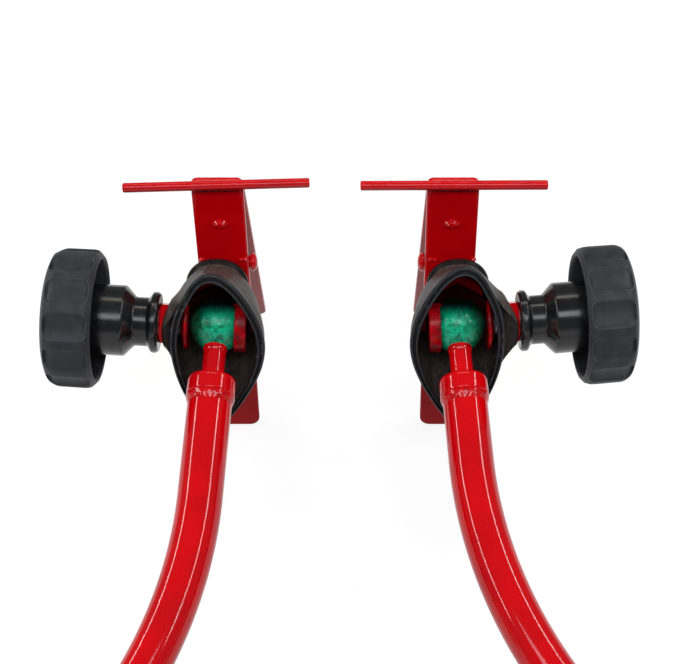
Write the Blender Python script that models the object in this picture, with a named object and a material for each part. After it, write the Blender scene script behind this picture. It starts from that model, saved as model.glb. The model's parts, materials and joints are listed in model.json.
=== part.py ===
"""Pair of ball-clamp stands: metres, +Z up, viewer on -Y, both stands on the floor at Z = 0."""
import math

import bmesh
import bpy
import numpy as np

for old in list(bpy.data.objects):
    bpy.data.objects.remove(old, do_unlink=True)

# shared
GAP = 0.0003
SEG = 24
FLOOR_Z = 0.0

# middle of the clamp, in front of the strap and a little outside its middle; the ball sits inward of it
CLAMP_X = 0.0768
CLAMP_Z = 0.1262
BALL_R = 0.0175
BALL_IN = 0.0025
SEAT_R = BALL_R + GAP

# strap and rear leg
STRAP_W = 0.032
STRAP_T = 0.005
STRAP_H = 0.2046
STRAP_X = 0.072
STRAP_Y = 0.042
STRAP_BACK = STRAP_Y + STRAP_T
BAR_CORNER = 0.0065
BAR_TOP_CORNER = 0.003
BAR_EDGE = 0.0011
LEG_DROP = 0.0086
LEG_TOP = STRAP_H - LEG_DROP
LEG_SPLAY = 0.590
LEG_T = STRAP_T * math.sqrt(1.0 + LEG_SPLAY ** 2)

# rod, pin and stub
ROD_R = 0.003
ROD_LEN = 0.114
ROD_DROP = 0.0010
ROD_END = 0.0006
LEFT_ROD_TILT = math.radians(1.9)
PIN_R = 0.004
PIN_HEAD_R = 0.0056
PIN_HEAD_H = 0.0017
PIN_DROP = 0.0306
PIN_Z = STRAP_H - PIN_DROP
STUB_R = 0.006
STUB_SHANK = 0.0042
STUB_LEN = 0.028
STUB_PROUD = 0.0046
STUB_Z = 0.1340

# clamp, measured along the screw from its middle, outward positive; the screw's outer end swings back and up
CLAMP_SWING = math.radians(2.1)
CLAMP_TILT = math.radians(2.5)
CUT_PAST = 0.004
SCREW_R = 0.00785
SCREW_FREE = 0.00035
SCREW_BORE = SCREW_R + SCREW_FREE
JAW_R = 0.0168
JAW_LIP = 0.0136
JAW_WALL = 0.0006
JAW_PLATE = 0.0045
JAW_EDGE = 0.0010
JAW_BACK = 0.0020
JAW_TRAVEL = 0.0020
MOVING_FACE = SEAT_R - BALL_IN
MOVING_BACK = MOVING_FACE + JAW_PLATE
FIXED_BACK = SEAT_R + BALL_IN + JAW_WALL
CHEEK_IN_T = 0.0030
CHEEK_OUT_T = 0.0028
JAW_SLACK = 0.0007
CHEEK_FREE = JAW_TRAVEL + JAW_SLACK
CHEEK_OUT = MOVING_BACK + CHEEK_FREE
CHEEK_IN = FIXED_BACK + GAP
CHEEK_H = 0.0108
BACK_DOWN = 0.0070
BACK_UP = 0.0050
CHEEK_FRONT = 0.0105
CHEEK_IN_FRONT = 0.0020
FALL_START = 0.005
FALL_LEN = 0.011
YOKE_GABLE = 0.0095
GABLE_HALF = 0.0155
YOKE_BACK_T = 0.0036
YOKE_FREE = 0.0023
YOKE_FRONT_Y = BALL_R + YOKE_FREE
YOKE_BACK_Y = YOKE_FRONT_Y + YOKE_BACK_T
YOKE_BEND_OUT = 0.0240
YOKE_BEND_IN = 0.0160
YOKE_CORNER_SHARE = 0.85
POST_R = 0.0150
TIP_R = 0.0050
NUT_AF = 0.0240
NUT_T = 0.0075
NUT_CHAMFER = 0.0008
NUT_WORN = 0.53
NUT_START = CHEEK_OUT + CHEEK_OUT_T + GAP
NUT_END = NUT_START + NUT_T

# sleeve and knob
SLEEVE_FREE = 0.0004
SLEEVE_START = NUT_END + SLEEVE_FREE
BEAD_R = 0.0190
BEAD_LEN = 0.0062
NECK_R = 0.0152
NECK_LEN = 0.0090
CONE_LEN = 0.0064
BELL_R = 0.0220
BELL_LEN = 0.0278
SLEEVE_WALL = 0.0026
BELL_LAP = 0.0123
KNOB_START = SLEEVE_START + BEAD_LEN + NECK_LEN + CONE_LEN + BELL_LEN - BELL_LAP
KNOB_LEN = 0.0324
KNOB_R = 0.0433
KNOB_WALL = 0.0050
KNOB_FLUTES = 12
FLUTE_DEPTH = 0.0024
CUP_DEPTH = 0.0174
HUB_R = BELL_R - SLEEVE_WALL - 2 * GAP
HUB_LEN = 0.0077
INSERT_AF = 0.0240
INSERT_LEN = 0.0114

# arm
ARM_DIP = math.radians(24.0)
ARM_LEAN = math.radians(3.3)
STEM_R = 0.0069
COLLAR_START = 0.0355
COLLAR_LEN = 0.0142
COLLAR_R = 0.0148
TUBE_R = 0.0135
TUBE_WALL = 0.0025
SPIGOT_LEN = 0.0080
TUBE_START = COLLAR_START + COLLAR_LEN + GAP
RIGHT_BEND_START = 0.0910
LEFT_BEND_START = 0.1130
BEND_R = 0.2650
TUBE_END_Z = 0.0150
FOOT_R = 0.0175
FOOT_GRIP = 0.0300
FOOT_END = 0.0050
FLOOR_CUT = 0.08

# boot and post, on a line a little above the clamp's middle
BOOT_UNIT = 0.0190
BOOT_RISE = 0.0024
BOOT_WALL = 0.0016
BOOT_LIP = 0.0022
BOOT_BORE = POST_R + GAP
NOSE_FREE = 0.00045
NOSE_BORE = NUT_AF / math.sqrt(3.0) + NOSE_FREE
NOSE_WALL = 0.0011
NOSE_FLARE = 0.0062
NOSE_DEEP = 0.0060
NOSE_OPEN = 0.0010
NOSE_ROOT = CHEEK_OUT - NOSE_DEEP
NOSE_LAP = 0.0048
NOSE_END = NUT_START + NOSE_LAP
BOOT_SET = 0.0015
BOOT_BEAD = 0.0047
BOOT_BEAD_LEN = 0.0050


def material(name, colour, rough, metal=0.0):
    mat = bpy.data.materials.new(name)
    mat.use_nodes = True
    shader = mat.node_tree.nodes["Principled BSDF"]
    shader.inputs["Base Color"].default_value = (*colour, 1.0)
    shader.inputs["Roughness"].default_value = rough
    shader.inputs["Metallic"].default_value = metal
    return mat


RED = material("red_paint", (0.55, 0.006, 0.012), 0.25)
BLACK = material("black_rubber", (0.012, 0.012, 0.013), 0.45)
PLASTIC = material("grey_plastic", (0.030, 0.034, 0.040), 0.55)
GREEN = material("green_coat", (0.0, 0.20, 0.09), 0.30)
STEEL = material("zinc_steel", (0.55, 0.56, 0.57), 0.35, 1.0)


def skin(rings, loop=False):
    """Verts and faces of a chain of rings. Rings have equal counts, half counts, or one point (a pole)."""
    verts = np.concatenate([np.reshape(r, (-1, 3)) for r in rings])
    counts = [len(np.reshape(r, (-1, 3))) for r in rings]
    starts = np.concatenate([[0], np.cumsum(counts)[:-1]])
    pairs = list(zip(range(len(rings) - 1), range(1, len(rings))))
    if loop:
        pairs.append((len(rings) - 1, 0))
    faces = []
    for i, j in pairs:
        a, b, n, m = int(starts[i]), int(starts[j]), counts[i], counts[j]
        for k in range(max(n, m)):
            k1 = (k + 1) % max(n, m)
            if n == m:
                faces.append((a + k, a + k1, b + k1, b + k))
            elif n == 1:
                faces.append((a, b + k1, b + k))
            elif m == 1:
                faces.append((a + k, a + k1, b))
            elif n == 2 * m:
                h, h1 = k // 2, ((k + 1) // 2) % m
                faces.append((a + k, a + k1, b + h) if h == h1 else (a + k, a + k1, b + h1, b + h))
            else:
                raise ValueError("ring counts do not pair")
    return verts, faces


def solid(name, verts, faces, mat, origin=(0.0, 0.0, 0.0)):
    """One closed body with its origin on the given point, faces turned outward."""
    mesh = bpy.data.meshes.new(name)
    mesh.from_pydata([tuple(v) for v in np.asarray(verts) - np.asarray(origin)], [], faces)
    bm = bmesh.new()
    bm.from_mesh(mesh)
    bmesh.ops.recalc_face_normals(bm, faces=bm.faces)
    bm.to_mesh(mesh)
    bm.free()
    mesh.materials.append(mat)
    ob = bpy.data.objects.new(name, mesh)
    ob.location = origin
    bpy.context.scene.collection.objects.link(ob)
    return ob


def combine(ob, verts, faces, operation):
    """Boolean of ob with a closed helper body, which stays in the file as a hidden wire."""
    tool = solid(ob.name + "_tool", verts, faces, BLACK, tuple(ob.location))
    tool.hide_render = True
    tool.display_type = "WIRE"
    mod = ob.modifiers.new(operation.lower(), "BOOLEAN")
    mod.operation = operation
    mod.solver = "EXACT"
    mod.object = tool


def frame(axis):
    """Two unit vectors square to axis: the first level with the floor where it can be."""
    axis = np.asarray(axis, float)
    side = np.cross(axis, (0.0, 0.0, 1.0))
    if np.linalg.norm(side) < 1e-6:
        side = np.array((1.0, 0.0, 0.0))
    side = side / np.linalg.norm(side)
    return side, np.cross(side, axis)


def circle(centre, axis, radius, n=SEG, phase=0.0):
    """Ring of n points; radius is a number or one number per point."""
    side, up = frame(axis)
    t = phase + 2 * math.pi * np.arange(n) / n
    return np.asarray(centre) + (np.multiply(np.cos(t), radius)[:, None] * side
                                 + np.multiply(np.sin(t), radius)[:, None] * up)


def turned(centre, axis, profile, n=SEG, loop=False, phase=0.0):
    """Profile of (distance along axis, radius) turned about the axis; radius 0 is a pole."""
    rings = []
    for along, radius in profile:
        middle = np.asarray(centre) + np.asarray(axis) * along
        pole = np.ndim(radius) == 0 and radius == 0
        rings.append(middle[None] if pole else circle(middle, axis, radius, n, phase))
    return skin(rings, loop)


def rounded(width, height, upper, lower, steps=5):
    """Closed outline of a rectangle about its middle, with upper and lower corner radii."""
    points = []
    corners = ((1, 1, 0, upper), (-1, 1, 90, upper), (-1, -1, 180, lower), (1, -1, 270, lower))
    for cx, cz, start, radius in corners:
        for k in range(steps + 1):
            t = math.radians(start + 90.0 * k / steps)
            points.append((cx * (width / 2 - radius) + radius * math.cos(t),
                           cz * (height / 2 - radius) + radius * math.sin(t)))
    return np.array(points)


def bar(x, front, bottom, top, width, thick, splay):
    """Upright flat bar with rounded corners and rolled edges, leaning back by splay per unit of drop."""
    height = top - bottom
    rings = []
    part_way = 0.3 * BAR_EDGE
    for depth, inset in ((0.0, BAR_EDGE), (part_way, part_way), (BAR_EDGE, 0.0),
                         (thick - BAR_EDGE, 0.0), (thick - part_way, part_way), (thick, BAR_EDGE)):
        shorter = 2 * inset if splay == 0 else 0.0
        flat = rounded(width - 2 * inset, height - shorter, BAR_TOP_CORNER - inset, BAR_CORNER - inset)
        z = flat[:, 1] + (top + bottom) / 2
        y = front + depth + splay * (top - z)
        rings.append(np.column_stack((flat[:, 0] + x, y, z)))
    verts, faces = skin(rings)
    n = len(rings[0])
    faces.append(tuple(range(n)))
    faces.append(tuple(range(len(verts) - n, len(verts))))
    return verts, faces


def hexagon(across, n, phase=0.0):
    """Radius of a hexagon at n even steps round, corners at multiples of 60 degrees from phase."""
    t = np.degrees(2 * math.pi * np.arange(n) / n) - phase
    return across / 2 / np.cos(np.radians((t % 60.0) - 30.0))


def mapped(data, centre, side):
    """Local (outward, back, up) points to the world, for the stand on that side."""
    verts, faces = data
    verts = np.asarray(verts, float)
    world = np.column_stack((side * verts[:, 0], verts[:, 1], verts[:, 2]))
    return world + np.asarray(centre), faces


def swung(data):
    """Local data with the screw's outer end turned up by the tilt, then back by the swing."""
    verts, faces = data
    u, y, z = np.asarray(verts, float).T
    c, s = math.cos(CLAMP_TILT), math.sin(CLAMP_TILT)
    u, z = c * u - s * z, s * u + c * z
    c, s = math.cos(CLAMP_SWING), math.sin(CLAMP_SWING)
    return np.column_stack((c * u - s * y, s * u + c * y, z)), faces


def ball_place():
    """Centre of the ball in local (outward, back, up), on the screw's line."""
    return swung(([(-BALL_IN, 0.0, 0.0)], []))[0][0]


def seat(start, end, steps=5):
    """Cup points of the fixed jaw on the seat sphere, from radius start to radius end."""
    return [(-BALL_IN - math.sqrt(SEAT_R ** 2 - r * r), float(r)) for r in np.linspace(start, end, steps)]


def knob_rings(phase):
    """Fluted outside, full count, then the hollow inside at half count."""
    n = 6 * KNOB_FLUTES
    t = np.degrees(2 * math.pi * np.arange(n) / n)
    off = np.abs((t + 15.0) % 30.0 - 15.0)
    flute = np.clip((11.5 - off) / 3.5, 0.0, 1.0)
    outer = ((0.0, 0.906, 0.0), (0.031, 0.946, 0.0), (0.111, 0.986, 0.0), (0.173, 1.0, 0.0),
             (0.228, 1.0, 0.75), (0.296, 1.0, 1.0), (0.741, 0.993, 1.0), (0.815, 0.972, 0.8),
             (0.880, 0.934, 0.0), (0.932, 0.871, 0.0), (0.975, 0.769, 0.0), (0.991, 0.553, 0.0))
    rings = []
    for along, share, depth in outer:
        rings.append((KNOB_START + along * KNOB_LEN, KNOB_R * share - FLUTE_DEPTH * depth * flute))
    rings = [circle((a, 0, 0), (1, 0, 0), r, n, phase) for a, r in rings]
    rings.insert(0, np.array([[KNOB_START + KNOB_LEN, 0.0, 0.0]]))
    rings[1:] = rings[1:][::-1]
    half = n // 2
    floor = KNOB_START + CUP_DEPTH
    pocket = hexagon(INSERT_AF, half) + GAP
    hub = floor - HUB_LEN
    deep = hub + INSERT_LEN + 2 * GAP
    wall = KNOB_R - KNOB_WALL
    step = KNOB_WALL / 4
    for along, radius in ((KNOB_START, wall - step / 2), (KNOB_START + step, wall - step),
                          (floor - 2 * step, wall - 2 * step), (floor, wall - 4 * step),
                          (floor, HUB_R + step), (floor - step, HUB_R), (hub, HUB_R), (hub, pocket), (deep, pocket)):
        rings.append(circle((along, 0, 0), (1, 0, 0), radius, half, phase))
    rings.append(np.array([[deep, 0.0, 0.0]]))
    return rings


def boot_ring(top, bottom, out, inward, eye, inset, n=28):
    """Section of the boot: v runs from its top to its bottom, widths blend from oval to eye."""
    t = 2 * math.pi * np.arange(n) / n
    v = (1.0 - np.sin(t)) / 2
    side = np.cos(t)
    oval = np.abs(side) ** 0.9
    out_v = (0.0, 0.047, 0.139, 0.252, 0.359, 0.449, 0.526, 0.655, 0.754, 0.880, 1.0)
    out_w = (0.0, 0.390, 0.640, 0.866, 0.969, 1.000, 0.976, 0.870, 0.728, 0.440, 0.0)
    in_v = (0.0, 0.028, 0.121, 0.214, 0.353, 0.458, 0.577, 0.682, 0.807, 0.903, 1.0)
    in_w = (0.0, 0.270, 0.571, 0.763, 0.953, 1.000, 0.946, 0.814, 0.577, 0.353, 0.0)
    lens = np.where(side > 0, np.interp(v, out_v, out_w), np.interp(v, in_v, in_w))
    lens = np.where(np.abs(side) < 1e-9, 0.0, lens)
    width = (1 - eye) * oval + eye * lens
    half = np.where(side > 0, out - inset, inward - inset)
    top, bottom = np.asarray(top, float), np.asarray(bottom, float)
    down = (bottom - top) / np.linalg.norm(bottom - top)
    top, bottom = top + down * inset, bottom - down * inset
    yz = top + v[:, None] * (bottom - top)
    return np.column_stack((np.sign(side) * width * half, yz[:, 0], yz[:, 1]))


def boot_body():
    """Rear collar bead, flaring body and slanted eye-shaped mouth, with a wall."""
    rear = STRAP_Y - BOOT_SET
    bead = POST_R + BOOT_BEAD
    edge = BOOT_BEAD / 4
    shares = (((1.7895, 0.9263), (1.7895, -0.9684), 0.9684, 0.9684, 0.0),
              ((1.6316, 0.9895), (1.6316, -1.1053), 1.0316, 1.0789, 0.0),
              ((1.1579, 1.2526), (0.9474, -1.6316), 1.2316, 1.3526, 0.15),
              ((0.5263, 1.6000), (0.1053, -2.2632), 1.3474, 1.5368, 0.5),
              ((0.0526, 1.9000), (-0.8421, -2.7895), 1.4000, 1.6632, 0.9),
              ((-0.3158, 2.1474), (-1.7895, -3.1316), 1.3368, 1.6789, 1.0))
    unit = BOOT_UNIT
    stations = [(unit * np.array(a), unit * np.array(b), unit * c, unit * d, e) for a, b, c, d, e in shares]
    rings = []
    for y, r in ((rear, bead - edge), (rear - edge, bead), (rear - BOOT_BEAD_LEN + edge, bead),
                 (rear - BOOT_BEAD_LEN, bead - edge)):
        rings.append(boot_ring((y, r), (y, -r), r, r, 0.0, 0.0))
    rings += [boot_ring(*s, 0.0) for s in stations]
    rings += [boot_ring(*s, BOOT_LIP if s is stations[-1] else BOOT_WALL) for s in stations[::-1]]
    for y in (rear - BOOT_BEAD_LEN, rear):
        rings.append(boot_ring((y, BOOT_BORE), (y, -BOOT_BORE), BOOT_BORE, BOOT_BORE, 0.0, 0.0))
    return skin([ring + np.array((0.0, 0.0, BOOT_RISE)) for ring in rings], loop=True)


def post_body():
    """Round post on the boot's line, its front cut square to the swung screw."""
    lean = math.tan(CLAMP_SWING)
    middle = np.array((0.0, 0.0, BOOT_RISE))
    front = circle(middle, (0.0, 1.0, 0.0), POST_R)
    front[:, 1] = (YOKE_BACK_Y + GAP) / math.cos(CLAMP_SWING) + lean * front[:, 0]
    back = circle(middle + np.array((0.0, STRAP_Y - GAP, 0.0)), (0.0, 1.0, 0.0), POST_R)
    verts, faces = skin([front, back])
    n = len(front)
    return verts, faces + [tuple(range(n)), tuple(range(n, 2 * n))]


def yoke_body():
    """Strip with a rectangular section swept round a U seen from above, gabled at the back."""
    out0, out1 = CHEEK_OUT, CHEEK_OUT + CHEEK_OUT_T
    in0, in1 = -CHEEK_IN, -CHEEK_IN - CHEEK_IN_T
    stations = [((out0, -CHEEK_FRONT), (out1, -CHEEK_FRONT))]
    for near_u, far_u, sign, far_r in ((out0, out1, 1.0, YOKE_BEND_OUT), (in0, in1, -1.0, YOKE_BEND_IN)):
        near_r = YOKE_CORNER_SHARE * far_r
        turns = np.radians(np.linspace(0, 90, 7))
        bend = [((near_u - sign * near_r * (1 - math.cos(t)), YOKE_FRONT_Y - near_r * (1 - math.sin(t))),
                 (far_u - sign * far_r * (1 - math.cos(t)), YOKE_BACK_Y - far_r * (1 - math.sin(t))))
                for t in turns]
        stations += bend if sign > 0 else [((0.0, YOKE_FRONT_Y), (0.0, YOKE_BACK_Y))] + bend[::-1]
    stations.append(((in0, -CHEEK_IN_FRONT), (in1, -CHEEK_IN_FRONT)))
    rings = []
    for near, far in stations:
        fall = min(max((far[1] - FALL_START) / FALL_LEN, 0.0), 1.0)
        up = CHEEK_H + (BACK_UP - CHEEK_H) * fall + YOKE_GABLE * max(0.0, 1.0 - abs(near[0]) / GABLE_HALF)
        down = CHEEK_H + (BACK_DOWN - CHEEK_H) * fall
        rings.append(np.array([(*near, -down), (*far, -down), (*far, up), (*near, up)]))
    verts, faces = skin(rings)
    faces.append((0, 1, 2, 3))
    faces.append(tuple(range(len(verts) - 4, len(verts))))
    return verts, faces


def arm_path(distance, bend):
    """Point and direction at a distance along the arm from the ball's centre; the bend starts at bend."""
    ahead = np.array((math.tan(ARM_LEAN), -math.cos(ARM_DIP), -math.sin(ARM_DIP)))
    ahead = ahead / np.linalg.norm(ahead)
    out = np.array((1.0, 0.0, 0.0)) - ahead * ahead[0]
    out = out / np.linalg.norm(out)
    if distance <= bend:
        return ahead * distance, ahead
    turn = (distance - bend) / BEND_R
    place = ahead * (bend + BEND_R * math.sin(turn)) + out * BEND_R * (1 - math.cos(turn))
    return place, ahead * math.cos(turn) + out * math.sin(turn)


def arm_length(bend):
    """Distance along the arm at which the tube's middle reaches TUBE_END_Z."""
    drop = CLAMP_Z + ball_place()[2] - TUBE_END_Z
    low, high = bend, bend + BEND_R * math.pi / 2
    for _ in range(60):
        middle = (low + high) / 2
        if -arm_path(middle, bend)[0][2] < drop:
            low = middle
        else:
            high = middle
    return low


def swept(bend, distances, radii, n=24):
    """Rings along the arm; a radius of 0 is a pole."""
    rings = []
    for distance, radius in zip(distances, radii):
        place, ahead = arm_path(distance, bend)
        rings.append(place[None] if radius == 0 else circle(place, ahead, radius, n))
    return rings


def box(low, high):
    """Closed box between two corners."""
    x0, y0, z0 = low
    x1, y1, z1 = high
    base = np.array([(x0, y0, z0), (x1, y0, z0), (x1, y1, z0), (x0, y1, z0)])
    verts, faces = skin([base, base + np.array((0, 0, z1 - z0))])
    return verts, faces + [(0, 1, 2, 3), (4, 5, 6, 7)]


def stand(side, prefix, knob_phase, rod_tilt, bend):
    """All twenty pieces of one stand; side is +1 for the right stand and -1 for the left."""
    clamp = (side * CLAMP_X, 0.0, CLAMP_Z)
    root = (side * STRAP_X, STRAP_Y, FLOOR_Z)
    ball = tuple(mapped(([ball_place()], []), clamp, side)[0][0])

    def put(name, data, mat, origin=clamp, centre=clamp):
        verts, faces = mapped(data, centre, side)
        return solid(prefix + name, verts, faces, mat, origin)

    def cut(ob, data, operation="DIFFERENCE", centre=clamp):
        combine(ob, *mapped(data, centre, side), operation)

    strap_u = STRAP_X - CLAMP_X
    x_axis, y_axis = (1.0, 0.0, 0.0), (0.0, 1.0, 0.0)
    phase = math.radians(40.0)

    # frame
    ground = FLOOR_Z - CLAMP_Z
    upright = bar(strap_u, STRAP_Y, ground, STRAP_H - CLAMP_Z, STRAP_W, STRAP_T, 0.0)
    strap = put("front_strap", upright, RED, root)
    leg_front = STRAP_BACK + GAP
    splayed = bar(strap_u, leg_front, ground, LEG_TOP - CLAMP_Z, STRAP_W, LEG_T, LEG_SPLAY)
    leg = put("rear_leg", splayed, RED, root)
    pin_at = (strap_u, 0.0, PIN_Z - CLAMP_Z)
    pin_end = leg_front + LEG_SPLAY * (LEG_TOP - PIN_Z + PIN_R) + LEG_T + PIN_HEAD_H
    before, past, pin_bore = STRAP_Y - CUT_PAST, pin_end + CUT_PAST, PIN_R + GAP
    for ob in (strap, leg):
        cut(ob, turned(pin_at, y_axis, ((before, 0), (before, pin_bore), (past, pin_bore), (past, 0)), 16))
    under = STRAP_Y - GAP
    dome = [(under - PIN_HEAD_H * math.sin(t), PIN_HEAD_R * math.cos(t)) for t in np.radians((75, 50, 25, 0))]
    shank = [(under, PIN_R), (pin_end, PIN_R), (pin_end, 0)]
    put("brace_pin", turned(pin_at, y_axis, [(under - PIN_HEAD_H, 0)] + dome + shank, 16), RED, root)
    rod_at = (strap_u, STRAP_Y - ROD_R - GAP, STRAP_H - ROD_DROP - CLAMP_Z)
    end = ROD_LEN / 2
    rod_line = (math.cos(rod_tilt), 0.0, -math.sin(rod_tilt))
    round_bar = ((-end, 0), (-end, ROD_R - ROD_END), (-end + ROD_END, ROD_R),
                 (end - ROD_END, ROD_R), (end, ROD_R - ROD_END), (end, 0))
    put("top_rod", turned(rod_at, rod_line, round_bar, 16), RED, root)
    stub_at = (strap_u - STRAP_W / 2 - STUB_PROUD, STRAP_BACK + GAP + STUB_R, STUB_Z - CLAMP_Z)
    lens = ((0.0, 0), (0.07, 0.45), (0.22, 0.75), (0.44, 0.93), (0.70, 1.0), (0.88, 0.96))
    head = [(STUB_PROUD * along, STUB_R * share) for along, share in lens]
    tail = [(STUB_PROUD, STUB_SHANK), (STUB_LEN, STUB_SHANK), (STUB_LEN, 0)]
    put("side_stub", turned(stub_at, x_axis, head + tail, 18), RED, root)

    # clamp, fixed side
    put("socket_post", post_body(), RED, root)
    yoke = put("socket_yoke", swung(yoke_body()), RED, root)
    before, past = CHEEK_OUT - CUT_PAST, CHEEK_OUT + CHEEK_OUT_T + CUT_PAST
    drill = ((before, 0), (before, SCREW_BORE), (past, SCREW_BORE), (past, 0))
    cut(yoke, swung(turned((0, 0, 0), x_axis, drill, 24)))
    lip = math.sqrt(SEAT_R ** 2 - (JAW_LIP - BALL_IN) ** 2)
    fixed = [(-FIXED_BACK, 0), (-FIXED_BACK, JAW_R - JAW_EDGE), (-FIXED_BACK + JAW_EDGE, JAW_R),
             (-JAW_LIP - JAW_EDGE, JAW_R), (-JAW_LIP, JAW_R - JAW_EDGE)] + seat(lip, 0.0)
    jaw = put("fixed_jaw", swung(turned((0, 0, 0), x_axis, fixed)), RED, root)
    cut(jaw, swung(box((-2 * JAW_R, JAW_BACK, -2 * JAW_R), (0.0, 2 * JAW_R, 2 * JAW_R))))
    nut = hexagon(NUT_AF, 24)
    worn = np.minimum(nut, NUT_WORN * NUT_AF)
    put("clamp_nut", swung(turned((0, 0, 0), x_axis, (
        (NUT_START, worn), (NUT_START + NUT_CHAMFER, nut), (NUT_END - NUT_CHAMFER, nut), (NUT_END, worn),
        (NUT_END, SCREW_BORE), (NUT_START, SCREW_BORE)), 24, True, phase)), RED, root)
    boot = put("ball_boot", boot_body(), BLACK, root)
    slope = NOSE_FLARE / (NOSE_END - NOSE_ROOT)
    cone = NOSE_BORE + NOSE_WALL
    nose = ((NOSE_ROOT, 0), (NOSE_ROOT, cone + NOSE_FLARE), (NOSE_END, cone), (NOSE_END, 0))
    cut(boot, swung(turned((0, 0, 0), x_axis, nose, 32)), "UNION")
    ends = [(u, NOSE_BORE + slope * (NOSE_END - u)) for u in (NOSE_ROOT - NOSE_OPEN, NOSE_END + CUT_PAST)]
    cut(boot, swung(turned((0, 0, 0), x_axis, [(ends[0][0], 0)] + ends + [(ends[1][0], 0)], 32)))

    # clamp, moving side
    hole = TIP_R + GAP
    moving = [(MOVING_FACE, JAW_R - JAW_EDGE), (MOVING_FACE + JAW_EDGE, JAW_R),
              (MOVING_BACK - JAW_EDGE, JAW_R), (MOVING_BACK, JAW_R - JAW_EDGE),
              (MOVING_BACK, hole), (MOVING_FACE, hole)]
    jaw = put("moving_jaw", swung(turned((0, 0, 0), x_axis, moving, SEG, True)), RED)
    cut(jaw, swung(box((0.0, JAW_BACK, -2 * JAW_R), (2 * JAW_R, 2 * JAW_R, 2 * JAW_R))))
    hub = KNOB_START + CUP_DEPTH - HUB_LEN
    tip = MOVING_FACE + GAP
    shoulder = MOVING_BACK + GAP
    put("clamp_screw", swung(turned((0, 0, 0), x_axis, (
        (tip, 0), (tip, TIP_R), (shoulder, TIP_R), (shoulder, SCREW_R),
        (hub + INSERT_LEN, SCREW_R), (hub + INSERT_LEN, 0)), 24)), STEEL)
    insert = hexagon(INSERT_AF, 24)
    put("knob_insert", swung(turned((0, 0, 0), x_axis, (
        (hub + GAP, insert), (hub + INSERT_LEN, insert), (hub + INSERT_LEN, SCREW_BORE),
        (hub + GAP, SCREW_BORE)), 24, True, knob_phase)), STEEL)
    s0 = SLEEVE_START
    s1 = s0 + BEAD_LEN
    s2 = s1 + NECK_LEN
    s3 = s2 + CONE_LEN
    s4 = s3 + BELL_LEN
    sleeve = ((s0, NECK_R), (s0 + 0.0006, BEAD_R - 0.0012), (s0 + 0.4 * BEAD_LEN, BEAD_R),
              (s0 + 0.7 * BEAD_LEN, BEAD_R), (s1 - 0.0005, NECK_R + 0.0018), (s1 + 0.0008, NECK_R),
              (s2, NECK_R), (s3, BELL_R), (s4 - 0.0036, BELL_R), (s4 - 0.0018, BELL_R + 0.0009), (s4, BELL_R),
              (s4, BELL_R - SLEEVE_WALL), (s3 + 0.0012, BELL_R - SLEEVE_WALL),
              (s2 + 0.0012, NECK_R - SLEEVE_WALL), (s0, NECK_R - SLEEVE_WALL))
    put("screw_sleeve", swung(turned((0, 0, 0), x_axis, sleeve, SEG, True)), BLACK)
    put("hand_knob", swung(skin(knob_rings(knob_phase))), PLASTIC)

    # arm
    turns = np.radians(np.linspace(-90, 90, 17))[1:-1]
    sphere = [(BALL_R * math.sin(t), BALL_R * math.cos(t)) for t in turns]
    sphere = [(-BALL_R, 0)] + sphere + [(BALL_R, 0)]
    ahead = arm_path(0.0, bend)[1]
    put("ball", turned((0, 0, 0), ahead, sphere), GREEN, ball, ball)
    root_end = [(math.sqrt(SEAT_R ** 2 - (share * STEM_R) ** 2), share * STEM_R) for share in (0.0, 0.6, 1.0)]
    neck = root_end + [(COLLAR_START - GAP, STEM_R), (COLLAR_START - GAP, 0)]
    put("ball_stem", turned((0, 0, 0), ahead, neck, 24), RED, ball, ball)
    c0, c1 = COLLAR_START, COLLAR_START + COLLAR_LEN
    spigot = TUBE_R - TUBE_WALL - GAP
    put("tube_collar", turned((0, 0, 0), ahead, (
        (c0, 0), (c0, COLLAR_R - 0.0050), (c0 + 0.0007, COLLAR_R - 0.0028), (c0 + 0.0020, COLLAR_R - 0.0009),
        (c0 + 0.0040, COLLAR_R), (c1 - 0.0020, COLLAR_R), (c1 - 0.0006, COLLAR_R - 0.0006),
        (c1, COLLAR_R - 0.0017), (c1, spigot), (c1 + SPIGOT_LEN, spigot), (c1 + SPIGOT_LEN, 0)), 24), RED, ball, ball)
    length = arm_length(bend)
    along = [TUBE_START, (TUBE_START + bend) / 2] + list(np.linspace(bend, length, 12))
    inner = TUBE_R - TUBE_WALL
    rings = swept(bend, along, [TUBE_R] * len(along)) + swept(bend, along[::-1], [inner] * len(along))
    put("arm_tube", skin(rings, loop=True), RED, ball, ball)
    grip = length - FOOT_GRIP
    bore = TUBE_R + GAP
    outside = [grip, grip + 0.0012] + list(np.linspace(grip + 0.008, length + FOOT_END - 0.0020, 5))
    outside += [length + FOOT_END - 0.0005, length + FOOT_END, length + FOOT_END]
    wide = [FOOT_R - 0.0016, FOOT_R - 0.0004] + [FOOT_R] * 5 + [FOOT_R - 0.0012, FOOT_R - 0.0030, 0]
    inside = [length + GAP, length + GAP] + list(np.linspace(length - 0.008, grip, 4))
    rings = swept(bend, inside, [0, bore] + [bore] * 4) + swept(bend, outside, wide)
    sole = put("tube_foot", skin(rings), BLACK, ball, ball)
    toe = arm_path(length, bend)[0]
    floor = FLOOR_Z - ball[2]
    cut(sole, box((toe[0] - FLOOR_CUT, toe[1] - FLOOR_CUT, floor - FLOOR_CUT),
                  (toe[0] + FLOOR_CUT, toe[1] + FLOOR_CUT, floor)), "DIFFERENCE", ball)


stand(1, "right_", math.radians(39.6), 0.0, RIGHT_BEND_START)
stand(-1, "left_", math.radians(31.8), LEFT_ROD_TILT, LEFT_BEND_START)

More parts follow.
